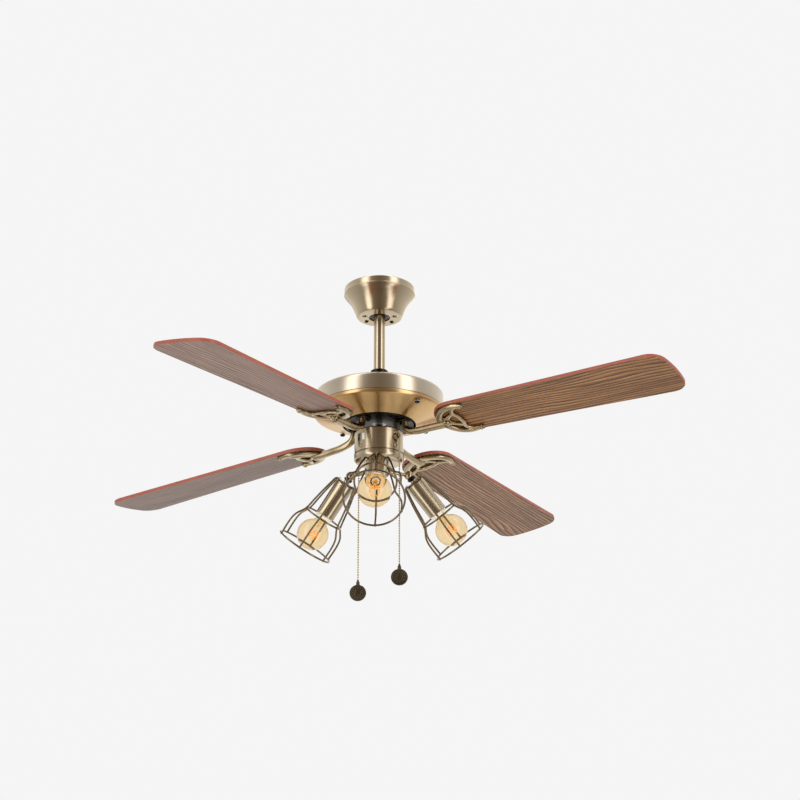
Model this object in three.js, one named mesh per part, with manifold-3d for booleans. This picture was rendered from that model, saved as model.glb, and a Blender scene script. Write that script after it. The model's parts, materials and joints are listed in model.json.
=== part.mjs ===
import * as THREE from 'three';
import { mergeVertices } from 'three/addons/utils/BufferGeometryUtils.js';
import Module from 'manifold-3d';

// Ceiling fan with three lamps, in millimetres, +Z up.
// The origin is the centre of the hanger bracket's top face, where it meets the ceiling.

// Hanging parts
const CANOPY_TOP = -1;
const CANOPY_BOTTOM = -53;
const CANOPY_RADIUS = 60.2;
const CANOPY_HOLE_RADIUS = 18;
const CANOPY_WALL = 1.3;
const CANOPY_SCREW_ANGLES = [39, 146];
const CANOPY_SCREW_RADIUS = 26.5;
const CANOPY_SLOT_ANGLES = [195, 345];
const BALL_CENTRE = -36;
const BALL_RADIUS = 20;
const LINER_INNER_RADIUS = 20.5;
const LINER_OUTER_RADIUS = 22.8;
const SEAT_RADIUS = 23.3;
const ROD_RADIUS = 9.5;
const ROD_BORE_RADIUS = 7.3;
const ROD_TOP = -17;
const ROD_BOTTOM = -176;
const COLLAR_TOP = -150.5;
const COLLAR_RADIUS = 14.8;
const CLEVIS_PIN_HEIGHT = -160;

// Motor and its housing
const DRUM_RADIUS = 107.8;
const DRUM_TOP = -193;
const DRUM_JOINT = -222.6;
const DRUM_LIP = -229.8;
const BOWL_BOTTOM = -247;
const BOWL_OPENING_RADIUS = 61;
const HOUSING_SCREW_ANGLES = [-52, 38, 128, 218];
const HOUSING_SCREW_RADIUS = 100;
const ROTOR_RADIUS = 84;
const ROTOR_SPLIT = -222;
const ROTOR_BOTTOM = -247.6;
const SHAFT_RADIUS = 6;
const SHAFT_CLEARANCE_RADIUS = 6.3;

// Blades and blade irons
const BLADE_AZIMUTHS = [-32.84, 57.16, 147.16, 237.16];
const BLADE_DROOPS = [0.4, 2.6, 3.9, 3.0];
const BLADE_PITCH = 8.4;
const BLADE_PLANE_HEIGHT = -260.2;
const BLADE_TIP_RADIUS = 533.5;
const BLADE_ROOT_RADIUS = 115;
const BLADE_HALF_WIDTH_INNER = 47.4;
const BLADE_HALF_WIDTH_OUTER = 57.7;
const BLADE_WIDTH_STATION = 190;
const BLADE_TIP_ARC_RADIUS = 223;
const BLADE_TIP_CORNER_RADIUS = 25.7;
const BLADE_THICKNESS = 5.5;
const IRON_THICKNESS = 4;
const IRON_GAP = 0.35;
const IRON_ARM_RADIUS = 6.2;

// Switch housing and light kit
const SWITCH_HOUSING_RADIUS = 40.4;
const SWITCH_HOUSING_TOP = -262;
const SWITCH_HOUSING_BOTTOM = -302.3;
const FITTER_TOP = -302.7;
const FITTER_BOTTOM = -313.5;
const CHAIN_OUTLET_HEIGHT = -277.4;
const FAN_CHAIN_ANGLE = -47.6;
const LIGHT_CHAIN_ANGLE = 132.4;
const CHAIN_REACH = 49.2;
const CHAIN_RADIUS = 1.6;
const FAN_FOB_HEIGHT = -517;
const LIGHT_FOB_HEIGHT = -523;
const FOB_RADIUS = 13.5;
const REVERSE_SWITCH_ANGLE = 216.3;
const CAPACITOR_ANGLE = 42.4;
const HUB_RADIUS = 16.5;
const HUB_BOTTOM = -338;
const LAMP_ROD_HEIGHT = -325.7;
const LAMP_ROD_RADIUS = 3;
const KNUCKLE_REACH = 55.4;
const KNUCKLE_RADIUS = 7.7;
const LAMP_AZIMUTHS = [-92.7, 27.3, 147.3];
const LAMP_SLOPES = [45, 46, 50];
const CAGE_TWISTS = [0, 9, 0];
const CUP_BACK = 15.2;
const CUP_RADIUS = 16.3;
const CUP_LENGTH = 62;
const BULB_CENTRE = 114.8;
const BULB_RADIUS = 26.7;
const CAGE_RING_DISTANCE = 138.9;
const CAGE_RING_RADIUS = 47.8;
const CAGE_WIRE_RADIUS = 1.7;
const CAGE_RIBS = 6;

const wasm = await Module();
wasm.setup();

const radians = (degrees) => THREE.MathUtils.degToRad(degrees);

const brass = { color: 0xb49a6a, roughness: 0.32, metalness: 1 };
const castBrass = { color: 0xb08f52, roughness: 0.4, metalness: 1 };
const blackMetal = { color: 0x17150f, roughness: 0.5, metalness: 0.7 };
const steel = { color: 0xb9bcc0, roughness: 0.35, metalness: 1 };
const walnut = { color: 0x6f5142, roughness: 0.5, metalness: 0 };
const copper = { color: 0xb5673a, roughness: 0.35, metalness: 1 };
const blackPlastic = { color: 0x111214, roughness: 0.55, metalness: 0 };
const creamPlastic = { color: 0xe9dfc3, roughness: 0.5, metalness: 0 };
const amberGlass = { color: 0xd99a3c, roughness: 0.08, metalness: 0 };
const darkBronze = { color: 0x4c3a22, roughness: 0.45, metalness: 1 };
const nylon = { color: 0xd8d8d2, roughness: 0.5, metalness: 0 };

// A closed geometry becomes a solid whose faces point out.
function toSolid(geometry) {
  const bare = geometry.clone();
  bare.deleteAttribute('normal');
  bare.deleteAttribute('uv');
  const merged = mergeVertices(bare, 1e-3);
  const points = merged.getAttribute('position').array;
  const corners = merged.index.array;
  const kept = [];
  let volume = 0;
  for (let i = 0; i < corners.length; i += 3) {
    const [a, b, c] = [corners[i], corners[i + 1], corners[i + 2]];
    if (a === b || b === c || c === a) {
      continue;
    }
    kept.push(a, b, c);
    const first = new THREE.Vector3().fromArray(points, 3 * a);
    const second = new THREE.Vector3().fromArray(points, 3 * b);
    const third = new THREE.Vector3().fromArray(points, 3 * c);
    volume += first.dot(second.cross(third));
  }
  if (volume < 0) {
    for (let i = 0; i < kept.length; i += 3) {
      [kept[i + 1], kept[i + 2]] = [kept[i + 2], kept[i + 1]];
    }
  }
  const vertProperties = new Float32Array(points);
  const triVerts = new Uint32Array(kept);
  return new wasm.Manifold(new wasm.Mesh({ numProp: 3, vertProperties, triVerts }));
}

function toGeometry(solid) {
  const mesh = solid.getMesh();
  const geometry = new THREE.BufferGeometry();
  geometry.setAttribute('position', new THREE.BufferAttribute(mesh.vertProperties, 3));
  geometry.setIndex(new THREE.BufferAttribute(mesh.triVerts, 1));
  geometry.computeVertexNormals();
  return geometry;
}

function join(solids) {
  return solids.reduce((sum, solid) => sum.add(solid));
}

function cut(solid, cutters) {
  return cutters.reduce((rest, cutter) => rest.subtract(cutter), solid);
}

// Turns a profile of [radius, height] points about the Z axis.
function turned(profile, segments) {
  const points = profile.map(([radius, height]) => new THREE.Vector2(radius, height));
  const geometry = new THREE.LatheGeometry(points, segments);
  geometry.rotateX(Math.PI / 2);
  return geometry;
}

function ringProfile(profile) {
  return [...profile, profile[0]];
}

function turnedRing(profile, segments) {
  return turned(ringProfile(profile), segments);
}

// An upright cylinder between two heights, moved to x, y.
function post(radius, top, bottom, segments, x = 0, y = 0) {
  const geometry = new THREE.CylinderGeometry(radius, radius, top - bottom, segments);
  geometry.rotateX(Math.PI / 2);
  geometry.translate(x, y, (top + bottom) / 2);
  return geometry;
}

// A cylinder along +X from one distance to another.
function bar(radius, from, to, segments) {
  const geometry = new THREE.CylinderGeometry(radius, radius, to - from, segments);
  geometry.rotateZ(Math.PI / 2);
  geometry.translate((from + to) / 2, 0, 0);
  return geometry;
}

function box(width, depth, height, x, y, z) {
  const geometry = new THREE.BoxGeometry(width, depth, height);
  geometry.translate(x, y, z);
  return geometry;
}

function tube(points, radius, sides, steps) {
  const path = new THREE.CatmullRomCurve3(points.map((point) => new THREE.Vector3(...point)));
  const section = new THREE.Shape();
  for (let i = 0; i < sides; i += 1) {
    const angle = (2 * Math.PI * i) / sides;
    const corner = [radius * Math.cos(angle), radius * Math.sin(angle)];
    if (i === 0) {
      section.moveTo(...corner);
    } else {
      section.lineTo(...corner);
    }
  }
  section.closePath();
  return new THREE.ExtrudeGeometry(section, { steps, bevelEnabled: false, extrudePath: path });
}

// A flat outline of [x, y] points with holes, thickened from one height to another.
function plate(outline, holes, bottom, top) {
  const points = outline.map(([x, y]) => new THREE.Vector2(x, y));
  if (THREE.ShapeUtils.area(points) < 0) {
    points.reverse();
  }
  const shape = new THREE.Shape(points);
  for (const hole of holes) {
    shape.holes.push(new THREE.Path(hole.map(([x, y]) => new THREE.Vector2(x, y))));
  }
  const geometry = new THREE.ExtrudeGeometry(shape, { depth: top - bottom, bevelEnabled: false });
  geometry.translate(0, 0, bottom);
  return geometry;
}

function circle(radius, segments, x = 0, y = 0) {
  const points = [];
  for (let i = 0; i < segments; i += 1) {
    const angle = (2 * Math.PI * i) / segments;
    points.push([x + radius * Math.cos(angle), y + radius * Math.sin(angle)]);
  }
  return points;
}

function spun(geometry, degrees) {
  return geometry.clone().rotateZ(radians(degrees));
}

const fan = new THREE.Group();

function addPart(parent, name, solid, look) {
  const mesh = new THREE.Mesh(toGeometry(solid), new THREE.MeshStandardMaterial(look));
  mesh.name = name;
  parent.add(mesh);
  return mesh;
}

// Hanger bracket: a top plate, two legs and a ring with a spherical seat, open at the front.
function hangerBracket() {
  const topPlate = toSolid(box(94, 34, 2.5, 0, 0, -1.25));
  const legs = [-1, 1].map((side) => toSolid(box(2.5, 26, 49, side * 29.4, 0, -25)));
  const seatTop = -37;
  const seatBottom = -49.6;
  const seat = [];
  for (let i = 0; i <= 3; i += 1) {
    const height = seatTop + ((seatBottom - seatTop) * i) / 3;
    const drop = height - BALL_CENTRE;
    seat.push([Math.sqrt(SEAT_RADIUS ** 2 - drop ** 2), height]);
  }
  const ring = toSolid(turnedRing([...seat, [30.6, seatBottom], [30.6, seatTop]], 20));
  const slot = toSolid(box(22, 34, 20, 0, -17, -44));
  const ceilingHoles = [-36, 36].map((x) => toSolid(post(2.6, 1, -4, 8, x, 0)));
  const wireHole = toSolid(post(5, 1, -4, 10, 16, 8));
  const screwHoles = CANOPY_SCREW_ANGLES.map((angle) => {
    const hole = post(1.9, -39, -55, 8, CANOPY_SCREW_RADIUS, 0);
    return toSolid(spun(hole, angle));
  });
  return cut(join([topPlate, ...legs, ring]), [slot, ...ceilingHoles, wireHole, ...screwHoles]);
}

// Canopy: a straight rim, a hollow-sided cone and a flat bottom with a central hole.
function canopy() {
  const outer = [
    [CANOPY_HOLE_RADIUS, CANOPY_BOTTOM],
    [36, CANOPY_BOTTOM],
    [38.6, CANOPY_BOTTOM + 2.4],
    [43.4, -41],
    [48.2, -31],
    [57.2, -19.3],
    [CANOPY_RADIUS, -12.5],
    [CANOPY_RADIUS, CANOPY_TOP],
  ];
  const inner = [
    [CANOPY_RADIUS - CANOPY_WALL, CANOPY_TOP],
    [CANOPY_RADIUS - CANOPY_WALL, -12.3],
    [56, -18.4],
    [47, -30.3],
    [42, -41],
    [37.2, -49.8],
    [35.4, CANOPY_BOTTOM + CANOPY_WALL],
    [CANOPY_HOLE_RADIUS, CANOPY_BOTTOM + CANOPY_WALL],
  ];
  const shell = toSolid(turnedRing([...outer, ...inner], 32));
  const screwHoles = CANOPY_SCREW_ANGLES.map((angle) => {
    const hole = post(1.9, -50, -56, 8, CANOPY_SCREW_RADIUS, 0);
    return toSolid(spun(hole, angle));
  });
  const slots = CANOPY_SLOT_ANGLES.map((angle) => {
    return toSolid(spun(box(3, 7, 6, 25, 0, -53), angle));
  });
  return cut(shell, [...screwHoles, ...slots]);
}

function canopyScrew() {
  const head = toSolid(post(3.2, -53.3, -55.4, 12, CANOPY_SCREW_RADIUS, 0));
  const shank = toSolid(post(1.45, -42, -54, 8, CANOPY_SCREW_RADIUS, 0));
  return join([head, shank]);
}

// The liner is a belt of a hollow sphere between the ball and its seat.
function ballLiner() {
  const points = [];
  const steps = 3;
  for (let i = 0; i <= steps; i += 1) {
    const angle = radians(-5 - (28 * i) / steps);
    points.push([LINER_OUTER_RADIUS * Math.cos(angle), BALL_CENTRE + LINER_OUTER_RADIUS * Math.sin(angle)]);
  }
  for (let i = steps; i >= 0; i -= 1) {
    const angle = radians(-5 - (28 * i) / steps);
    points.push([LINER_INNER_RADIUS * Math.cos(angle), BALL_CENTRE + LINER_INNER_RADIUS * Math.sin(angle)]);
  }
  return toSolid(turnedRing(points, 20));
}

// The ball has a flat top, a bore for the downrod and a cross hole for the hanger pin.
function hangerBall() {
  const top = 11;
  const bottom = -14;
  const bore = ROD_RADIUS + 0.35;
  const profile = [[bore, BALL_CENTRE + bottom]];
  for (let i = 0; i <= 5; i += 1) {
    const drop = bottom + ((top - bottom) * i) / 5;
    profile.push([Math.sqrt(BALL_RADIUS ** 2 - drop ** 2), BALL_CENTRE + drop]);
  }
  profile.push([bore, BALL_CENTRE + top]);
  const pinHole = toSolid(bar(2.9, -30, 30, 8).translate(0, 0, BALL_CENTRE + 4));
  return cut(toSolid(turnedRing(profile, 20)), [pinHole]);
}

function hangerPin() {
  return toSolid(bar(2.3, -18, 18, 8).translate(0, 0, BALL_CENTRE + 4));
}

function downrod() {
  const pipe = toSolid(turnedRing([
    [ROD_BORE_RADIUS, ROD_BOTTOM],
    [ROD_RADIUS, ROD_BOTTOM],
    [ROD_RADIUS, ROD_TOP],
    [ROD_BORE_RADIUS, ROD_TOP],
  ], 20));
  const crossHoles = [BALL_CENTRE + 4, CLEVIS_PIN_HEIGHT].map((height) => {
    return toSolid(bar(2.9, -20, 20, 8).translate(0, 0, height));
  });
  return cut(pipe, crossHoles);
}

// The yoke collar takes the downrod above and the motor shaft below.
function yokeCollar() {
  const body = toSolid(turnedRing([
    [ROD_RADIUS + 0.35, COLLAR_TOP],
    [COLLAR_RADIUS - 0.8, COLLAR_TOP],
    [COLLAR_RADIUS, COLLAR_TOP - 1],
    [COLLAR_RADIUS, -184],
    [20, -188],
    [20, DRUM_TOP + 0.35],
    [SHAFT_CLEARANCE_RADIUS, DRUM_TOP + 0.35],
    [SHAFT_CLEARANCE_RADIUS, -179],
    [ROD_RADIUS + 0.35, -177.5],
  ], 20));
  const pinHole = toSolid(bar(2.9, -20, 20, 8).translate(0, 0, CLEVIS_PIN_HEIGHT));
  return cut(body, [pinHole]);
}

function clevisPin() {
  const shank = toSolid(bar(2.3, -18.5, 16.5, 8));
  const head = toSolid(bar(3.8, -18.5, -15.6, 10));
  return join([shank, head]).translate([0, 0, CLEVIS_PIN_HEIGHT]);
}

function upperHousing() {
  return toSolid(turnedRing([
    [SHAFT_CLEARANCE_RADIUS, DRUM_TOP],
    [103, DRUM_TOP],
    [106.6, DRUM_TOP - 1.8],
    [DRUM_RADIUS, DRUM_TOP - 5],
    [DRUM_RADIUS, DRUM_JOINT + 0.2],
    [106.4, DRUM_JOINT + 0.2],
    [106.4, DRUM_TOP - 5],
    [102.6, DRUM_TOP - 1.4],
    [SHAFT_CLEARANCE_RADIUS, DRUM_TOP - 1.4],
  ], 32));
}

// The lower housing is a short band and a shallow bowl open in the middle.
function lowerHousing() {
  const bowl = toSolid(turnedRing([
    [106.4, DRUM_JOINT - 0.2],
    [DRUM_RADIUS, DRUM_JOINT - 0.2],
    [DRUM_RADIUS + 0.6, DRUM_JOINT - 1],
    [DRUM_RADIUS + 0.6, DRUM_LIP + 1],
    [DRUM_RADIUS - 0.6, DRUM_LIP],
    [BOWL_OPENING_RADIUS, BOWL_BOTTOM],
    [BOWL_OPENING_RADIUS, BOWL_BOTTOM + 1.5],
    [106.2, DRUM_LIP + 1.3],
  ], 32));
  const holes = HOUSING_SCREW_ANGLES.map((angle) => {
    return toSolid(spun(post(2.2, -224, -245, 8, HOUSING_SCREW_RADIUS, 0), angle));
  });
  return cut(bowl, holes);
}

function housingScrew() {
  const shank = toSolid(post(1.7, -226, -236, 8, HOUSING_SCREW_RADIUS, 0));
  const head = toSolid(post(3.6, -234.6, -237.2, 12, HOUSING_SCREW_RADIUS, 0));
  return join([shank, head]);
}

// The laminated core is a hub ring with eight teeth.
const TEETH = 8;
const TOOTH_INNER = 40;
const TOOTH_OUTER = 75;

function statorCore() {
  const outline = [];
  for (let i = 0; i < TEETH; i += 1) {
    const centre = (360 / TEETH) * i;
    for (const [radius, offset] of [[TOOTH_INNER, -12], [TOOTH_OUTER, -16], [TOOTH_OUTER, 16], [TOOTH_INNER, 12]]) {
      const angle = radians(centre + offset);
      outline.push([radius * Math.cos(angle), radius * Math.sin(angle)]);
    }
  }
  return toSolid(plate(outline, [circle(SHAFT_CLEARANCE_RADIUS, 12)], -231, -213));
}

// The winding is one bundle: an upper ring, a lower ring and a leg through every slot.
function statorWindings() {
  const rings = [[-206, -212.6], [-231.4, -235.4]].map(([top, bottom]) => {
    return toSolid(turnedRing([[44, bottom], [66, bottom], [66, top], [44, top]], 24));
  });
  const legs = [];
  for (let i = 0; i < TEETH; i += 1) {
    const leg = box(16, 8, 26, 56, 0, -222);
    legs.push(toSolid(spun(leg, (360 / TEETH) * (i + 0.5))));
  }
  return join([...rings, ...legs]);
}

function motorShaft() {
  return toSolid(turnedRing([
    [3.8, -272],
    [SHAFT_RADIUS, -272],
    [SHAFT_RADIUS, -179.5],
    [3.8, -179.5],
  ], 14));
}

function bearing(top) {
  return toSolid(turnedRing([
    [SHAFT_CLEARANCE_RADIUS, top - 8],
    [12.3, top - 8],
    [12.3, top],
    [SHAFT_CLEARANCE_RADIUS, top],
  ], 16));
}

function rotorUpper() {
  return toSolid(turnedRing([
    [12.65, -199.5],
    [77, -199.5],
    [ROTOR_RADIUS, -204.5],
    [ROTOR_RADIUS, ROTOR_SPLIT + 0.2],
    [ROTOR_RADIUS - 3, ROTOR_SPLIT + 0.2],
    [ROTOR_RADIUS - 3, -206],
    [75, -202.3],
    [20, -202.3],
    [20, -209.5],
    [12.65, -209.5],
  ], 24));
}

function rotorLower() {
  return toSolid(turnedRing([
    [12.65, -236.5],
    [20, -236.5],
    [20, -243],
    [56, -243],
    [74, -236.8],
    [ROTOR_RADIUS - 3, -231.5],
    [ROTOR_RADIUS - 3, ROTOR_SPLIT - 0.2],
    [ROTOR_RADIUS, ROTOR_SPLIT - 0.2],
    [ROTOR_RADIUS, -232.5],
    [76, -238],
    [58, -244.2],
    [57, ROTOR_BOTTOM],
    [12.65, ROTOR_BOTTOM],
  ], 24));
}

// Half width of a blade at a distance from the fan's axis.
function bladeHalfWidth(distance) {
  const run = (distance - BLADE_WIDTH_STATION) / (BLADE_TIP_RADIUS - BLADE_WIDTH_STATION);
  return BLADE_HALF_WIDTH_INNER + (BLADE_HALF_WIDTH_OUTER - BLADE_HALF_WIDTH_INNER) * run;
}

// One side of the blade's outline from root to tip: a round root, a straight
// side and a rounded corner that runs into the shallow arc of the tip.
function bladeSide() {
  const points = [];
  const rootRun = 42;
  for (let i = 0; i <= 7; i += 1) {
    const angle = (Math.PI / 2) * (i / 7);
    const distance = BLADE_ROOT_RADIUS + rootRun * (1 - Math.cos(angle));
    points.push([distance, bladeHalfWidth(BLADE_ROOT_RADIUS + rootRun) * Math.sin(angle) ** 0.9]);
  }
  const slope = (BLADE_HALF_WIDTH_OUTER - BLADE_HALF_WIDTH_INNER) / (BLADE_TIP_RADIUS - BLADE_WIDTH_STATION);
  const arcCentre = BLADE_TIP_RADIUS - BLADE_TIP_ARC_RADIUS;
  const corner = BLADE_TIP_CORNER_RADIUS;
  let cornerCentre = BLADE_TIP_RADIUS - corner;
  for (let i = 0; i < 40; i += 1) {
    const across = bladeHalfWidth(cornerCentre) - corner * Math.hypot(1, slope);
    cornerCentre = arcCentre + Math.sqrt((BLADE_TIP_ARC_RADIUS - corner) ** 2 - across ** 2);
  }
  const cornerAcross = bladeHalfWidth(cornerCentre) - corner * Math.hypot(1, slope);
  const start = Math.PI / 2 + Math.atan(slope);
  const end = Math.atan2(cornerAcross, cornerCentre - arcCentre);
  for (let i = 0; i <= 5; i += 1) {
    const angle = start + ((end - start) * i) / 5;
    points.push([cornerCentre + corner * Math.cos(angle), cornerAcross + corner * Math.sin(angle)]);
  }
  for (let i = 1; i <= 3; i += 1) {
    const angle = end * (1 - i / 3);
    points.push([
      arcCentre + BLADE_TIP_ARC_RADIUS * Math.cos(angle),
      BLADE_TIP_ARC_RADIUS * Math.sin(angle),
    ]);
  }
  return points;
}

function blade() {
  const side = bladeSide();
  const other = side.slice(1, -1).reverse().map(([x, y]) => [x, -y]);
  return toSolid(plate([...side, ...other], [], -BLADE_THICKNESS / 2, BLADE_THICKNESS / 2));
}

// Places blade coordinates (out, across, up) in the frame of its azimuth.
function bladeMatrix(droop) {
  const turn = new THREE.Euler(radians(-BLADE_PITCH), radians(droop), 0, 'YXZ');
  const matrix = new THREE.Matrix4().makeRotationFromEuler(turn);
  return matrix.setPosition(0, 0, BLADE_PLANE_HEIGHT);
}

// The blade iron: a foot on the rotor, a bent arm and an open crescent under the blade.
function bladeIron(droop) {
  const half = [
    [118.5, 0],
    [120, 9],
    [124, 20],
    [132, 32.5],
    [143, 40.5],
    [156, 44],
    [169, 43.2],
    [178, 40.5],
    [180.5, 36.5],
    [177, 32.8],
    [168, 33.6],
    [160.5, 30],
    [154.5, 20],
    [158.5, 8],
  ];
  const mirrored = half.slice(1).reverse().map(([x, y]) => [x, -y]);
  const sideHole = [[128.5, 13], [133, 23], [141, 32], [151.5, 36], [155, 31.5], [148.5, 21.5], [139, 13.5]];
  const holes = [
    sideHole,
    sideHole.map(([x, y]) => [x, -y]).reverse(),
    [[139.5, -5], [139.5, 5], [149, 14.5], [153.5, 5], [153.5, -5], [149, -14.5]],
  ];
  const top = -BLADE_THICKNESS / 2 - IRON_GAP;
  const frame = plate([...half, ...mirrored], holes, top - IRON_THICKNESS, top);
  const matrix = bladeMatrix(droop);
  frame.applyMatrix4(matrix);
  const landing = new THREE.Vector3(128, 0, top - IRON_ARM_RADIUS - 0.3).applyMatrix4(matrix);
  const entry = new THREE.Vector3(115, 0, top - IRON_ARM_RADIUS - 0.7).applyMatrix4(matrix);
  const path = [
    [49.5, 0, -250],
    [50.4, 0, -257],
    [53.6, 0, -264.5],
    [61.5, 0, -269.8],
    [76, 0, -272],
    [94, 0, -272],
    [entry.x, 0, entry.z],
    [landing.x, 0, landing.z],
  ];
  const arm = tube(path, IRON_ARM_RADIUS, 8, 12);
  const foot = box(20, 17, 3, 46, 0, ROTOR_BOTTOM - 0.35 - 1.5);
  return join([toSolid(frame), toSolid(arm), toSolid(foot)]);
}

function switchHousing() {
  const wall = 1.3;
  const shell = toSolid(turnedRing([
    [SHAFT_CLEARANCE_RADIUS, SWITCH_HOUSING_TOP],
    [SWITCH_HOUSING_RADIUS - 1.2, SWITCH_HOUSING_TOP],
    [SWITCH_HOUSING_RADIUS, SWITCH_HOUSING_TOP - 1.2],
    [SWITCH_HOUSING_RADIUS, SWITCH_HOUSING_BOTTOM],
    [SWITCH_HOUSING_RADIUS - wall, SWITCH_HOUSING_BOTTOM],
    [SWITCH_HOUSING_RADIUS - wall, SWITCH_HOUSING_TOP - wall],
    [SHAFT_CLEARANCE_RADIUS, SWITCH_HOUSING_TOP - wall],
  ], 28));
  const outlets = [FAN_CHAIN_ANGLE, LIGHT_CHAIN_ANGLE].map((angle) => {
    return toSolid(spun(bar(4, 30, 50, 12).translate(0, 0, CHAIN_OUTLET_HEIGHT), angle));
  });
  const slot = toSolid(spun(box(20, 5, 13, 40, 0, CHAIN_OUTLET_HEIGHT), REVERSE_SWITCH_ANGLE));
  return cut(shell, [...outlets, slot]);
}

// The slide of the reversing switch: a nub through the housing's slot and a tongue behind it.
function reverseSwitch() {
  const nub = toSolid(box(8, 3.6, 5, 37.6, 0, CHAIN_OUTLET_HEIGHT + 3));
  const tongue = toSolid(box(3, 9, 15, 34, 0, CHAIN_OUTLET_HEIGHT + 3));
  return join([nub, tongue]);
}

function pullSwitch() {
  const body = toSolid(post(9, CHAIN_OUTLET_HEIGHT + 9, CHAIN_OUTLET_HEIGHT - 13, 14, 20, 0));
  const nose = toSolid(bar(3, 26, 32.5, 8).translate(0, 0, CHAIN_OUTLET_HEIGHT));
  return join([body, nose]);
}

// The ferrule is a flanged bell mouth through the wall, open along its length.
function ferrule() {
  const profile = [
    [2.1, 33],
    [3.5, 33],
    [3.5, 40.8],
    [5.8, 40.8],
    [5.8, 42.6],
    [4.6, 43.6],
    [5.4, 45.2],
    [5.2, 46.4],
    [2.1, 46.4],
  ];
  const geometry = turnedRing(profile, 12);
  geometry.rotateY(Math.PI / 2);
  geometry.translate(0, 0, CHAIN_OUTLET_HEIGHT);
  return toSolid(geometry);
}

// The chain leaves the ferrule level, bends over and hangs straight down to its fob.
function pullChain(fobHeight) {
  const end = fobHeight + FOB_RADIUS + 8.3;
  const points = [
    [47.3, 0, CHAIN_OUTLET_HEIGHT - 0.2],
    [48.5, 0, CHAIN_OUTLET_HEIGHT - 0.9],
    [CHAIN_REACH, 0, CHAIN_OUTLET_HEIGHT - 2.8],
    [CHAIN_REACH, 0, CHAIN_OUTLET_HEIGHT - 8],
  ];
  const straight = 6;
  for (let i = 1; i <= straight; i += 1) {
    const from = CHAIN_OUTLET_HEIGHT - 8;
    points.push([CHAIN_REACH, 0, from + ((end - from) * i) / straight]);
  }
  return toSolid(tube(points, CHAIN_RADIUS, 8, 30));
}

// The fob is a coin standing on edge below a small bell.
function fob(fobHeight) {
  const coin = new THREE.CylinderGeometry(FOB_RADIUS, FOB_RADIUS, 3.6, 20);
  coin.translate(0, 0, fobHeight);
  const bell = turned([
    [0, fobHeight + FOB_RADIUS - 2],
    [2.4, fobHeight + FOB_RADIUS - 2],
    [3.4, fobHeight + FOB_RADIUS + 2],
    [1.8, fobHeight + FOB_RADIUS + 8],
    [0, fobHeight + FOB_RADIUS + 8],
  ], 8);
  return join([toSolid(coin), toSolid(bell)]);
}

function lightFitter() {
  return toSolid(turnedRing([
    [SHAFT_CLEARANCE_RADIUS, FITTER_BOTTOM],
    [34, FITTER_BOTTOM],
    [38.6, -311.9],
    [40.9, -308],
    [41.1, FITTER_TOP],
    [39.5, FITTER_TOP],
    [39.3, -307.6],
    [37.5, -310.6],
    [33.6, FITTER_BOTTOM + 1.4],
    [SHAFT_CLEARANCE_RADIUS, FITTER_BOTTOM + 1.4],
  ], 28));
}

// The hub carries three level rods, each with a locking collar at its root.
function lampHub() {
  const body = toSolid(turned([
    [0, HUB_BOTTOM],
    [HUB_RADIUS - 2, HUB_BOTTOM],
    [HUB_RADIUS, HUB_BOTTOM + 2.5],
    [HUB_RADIUS, FITTER_BOTTOM - 3],
    [HUB_RADIUS - 2, FITTER_BOTTOM - 0.35],
    [0, FITTER_BOTTOM - 0.35],
  ], 20));
  const wireWay = toSolid(post(5, -310, -330, 10));
  const rods = LAMP_AZIMUTHS.map((angle) => {
    const rod = toSolid(spun(bar(LAMP_ROD_RADIUS, 10, 50.2, 10), angle));
    const collar = toSolid(spun(bar(4.1, 14, 21.5, 10), angle));
    return join([rod, collar]).translate([0, 0, LAMP_ROD_HEIGHT]);
  });
  return cut(join([body, ...rods]), [wireWay]);
}

function finial() {
  return toSolid(turned([
    [0, -353],
    [3.6, -351],
    [3, -347],
    [9, -342],
    [10, HUB_BOTTOM - 0.35],
    [0, HUB_BOTTOM - 0.35],
  ], 16));
}

// Lamp pieces are turned about +Z from the knuckle's centre outwards.
function knuckle() {
  const ball = toSolid(new THREE.SphereGeometry(KNUCKLE_RADIUS, 14, 8));
  const rodHole = toSolid(bar(LAMP_ROD_RADIUS + 0.5, -20, -4.8, 8));
  return cut(ball, [rodHole]);
}

function lampCup() {
  const cup = toSolid(turned([
    [0, CUP_BACK],
    [CUP_RADIUS - 1.5, CUP_BACK],
    [CUP_RADIUS, CUP_BACK + 1.5],
    [CUP_RADIUS, CUP_BACK + CUP_LENGTH],
    [CUP_RADIUS - 1.1, CUP_BACK + CUP_LENGTH],
    [CUP_RADIUS - 1.1, CUP_BACK + 1.8],
    [0, CUP_BACK + 1.8],
  ], 18));
  const neck = toSolid(post(4.6, CUP_BACK + 1, 10, 10));
  const bridge = toSolid(box(9, 20.4, 2.6, 0, 0, 10.9));
  const cheeks = [-1, 1].map((side) => toSolid(box(9, 2, 16, 0, side * 9.2, 4.2)));
  return join([cup, neck, bridge, ...cheeks]);
}

function lampholder() {
  return toSolid(turned([
    [0, CUP_BACK + 4],
    [14.6, CUP_BACK + 4],
    [14.6, CUP_BACK + CUP_LENGTH + 4.6],
    [13.6, CUP_BACK + CUP_LENGTH + 5.6],
    [8, CUP_BACK + CUP_LENGTH + 5.6],
    [8, CUP_BACK + 34],
    [0, CUP_BACK + 34],
  ], 14));
}

// The bulb: a screw cap, a short neck and a round envelope.
function bulb() {
  const points = [
    [0, CUP_BACK + 36],
    [3, CUP_BACK + 36],
    [7.1, CUP_BACK + 39],
    [7.1, CUP_BACK + 68],
    [10, CUP_BACK + 71.5],
  ];
  const first = -55;
  for (let i = 0; i <= 7; i += 1) {
    const angle = radians(first + ((90 - first) * i) / 7);
    const radius = i === 7 ? 0 : BULB_RADIUS * Math.cos(angle);
    points.push([radius, BULB_CENTRE + BULB_RADIUS * Math.sin(angle)]);
  }
  return toSolid(turned(points, 16));
}

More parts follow.
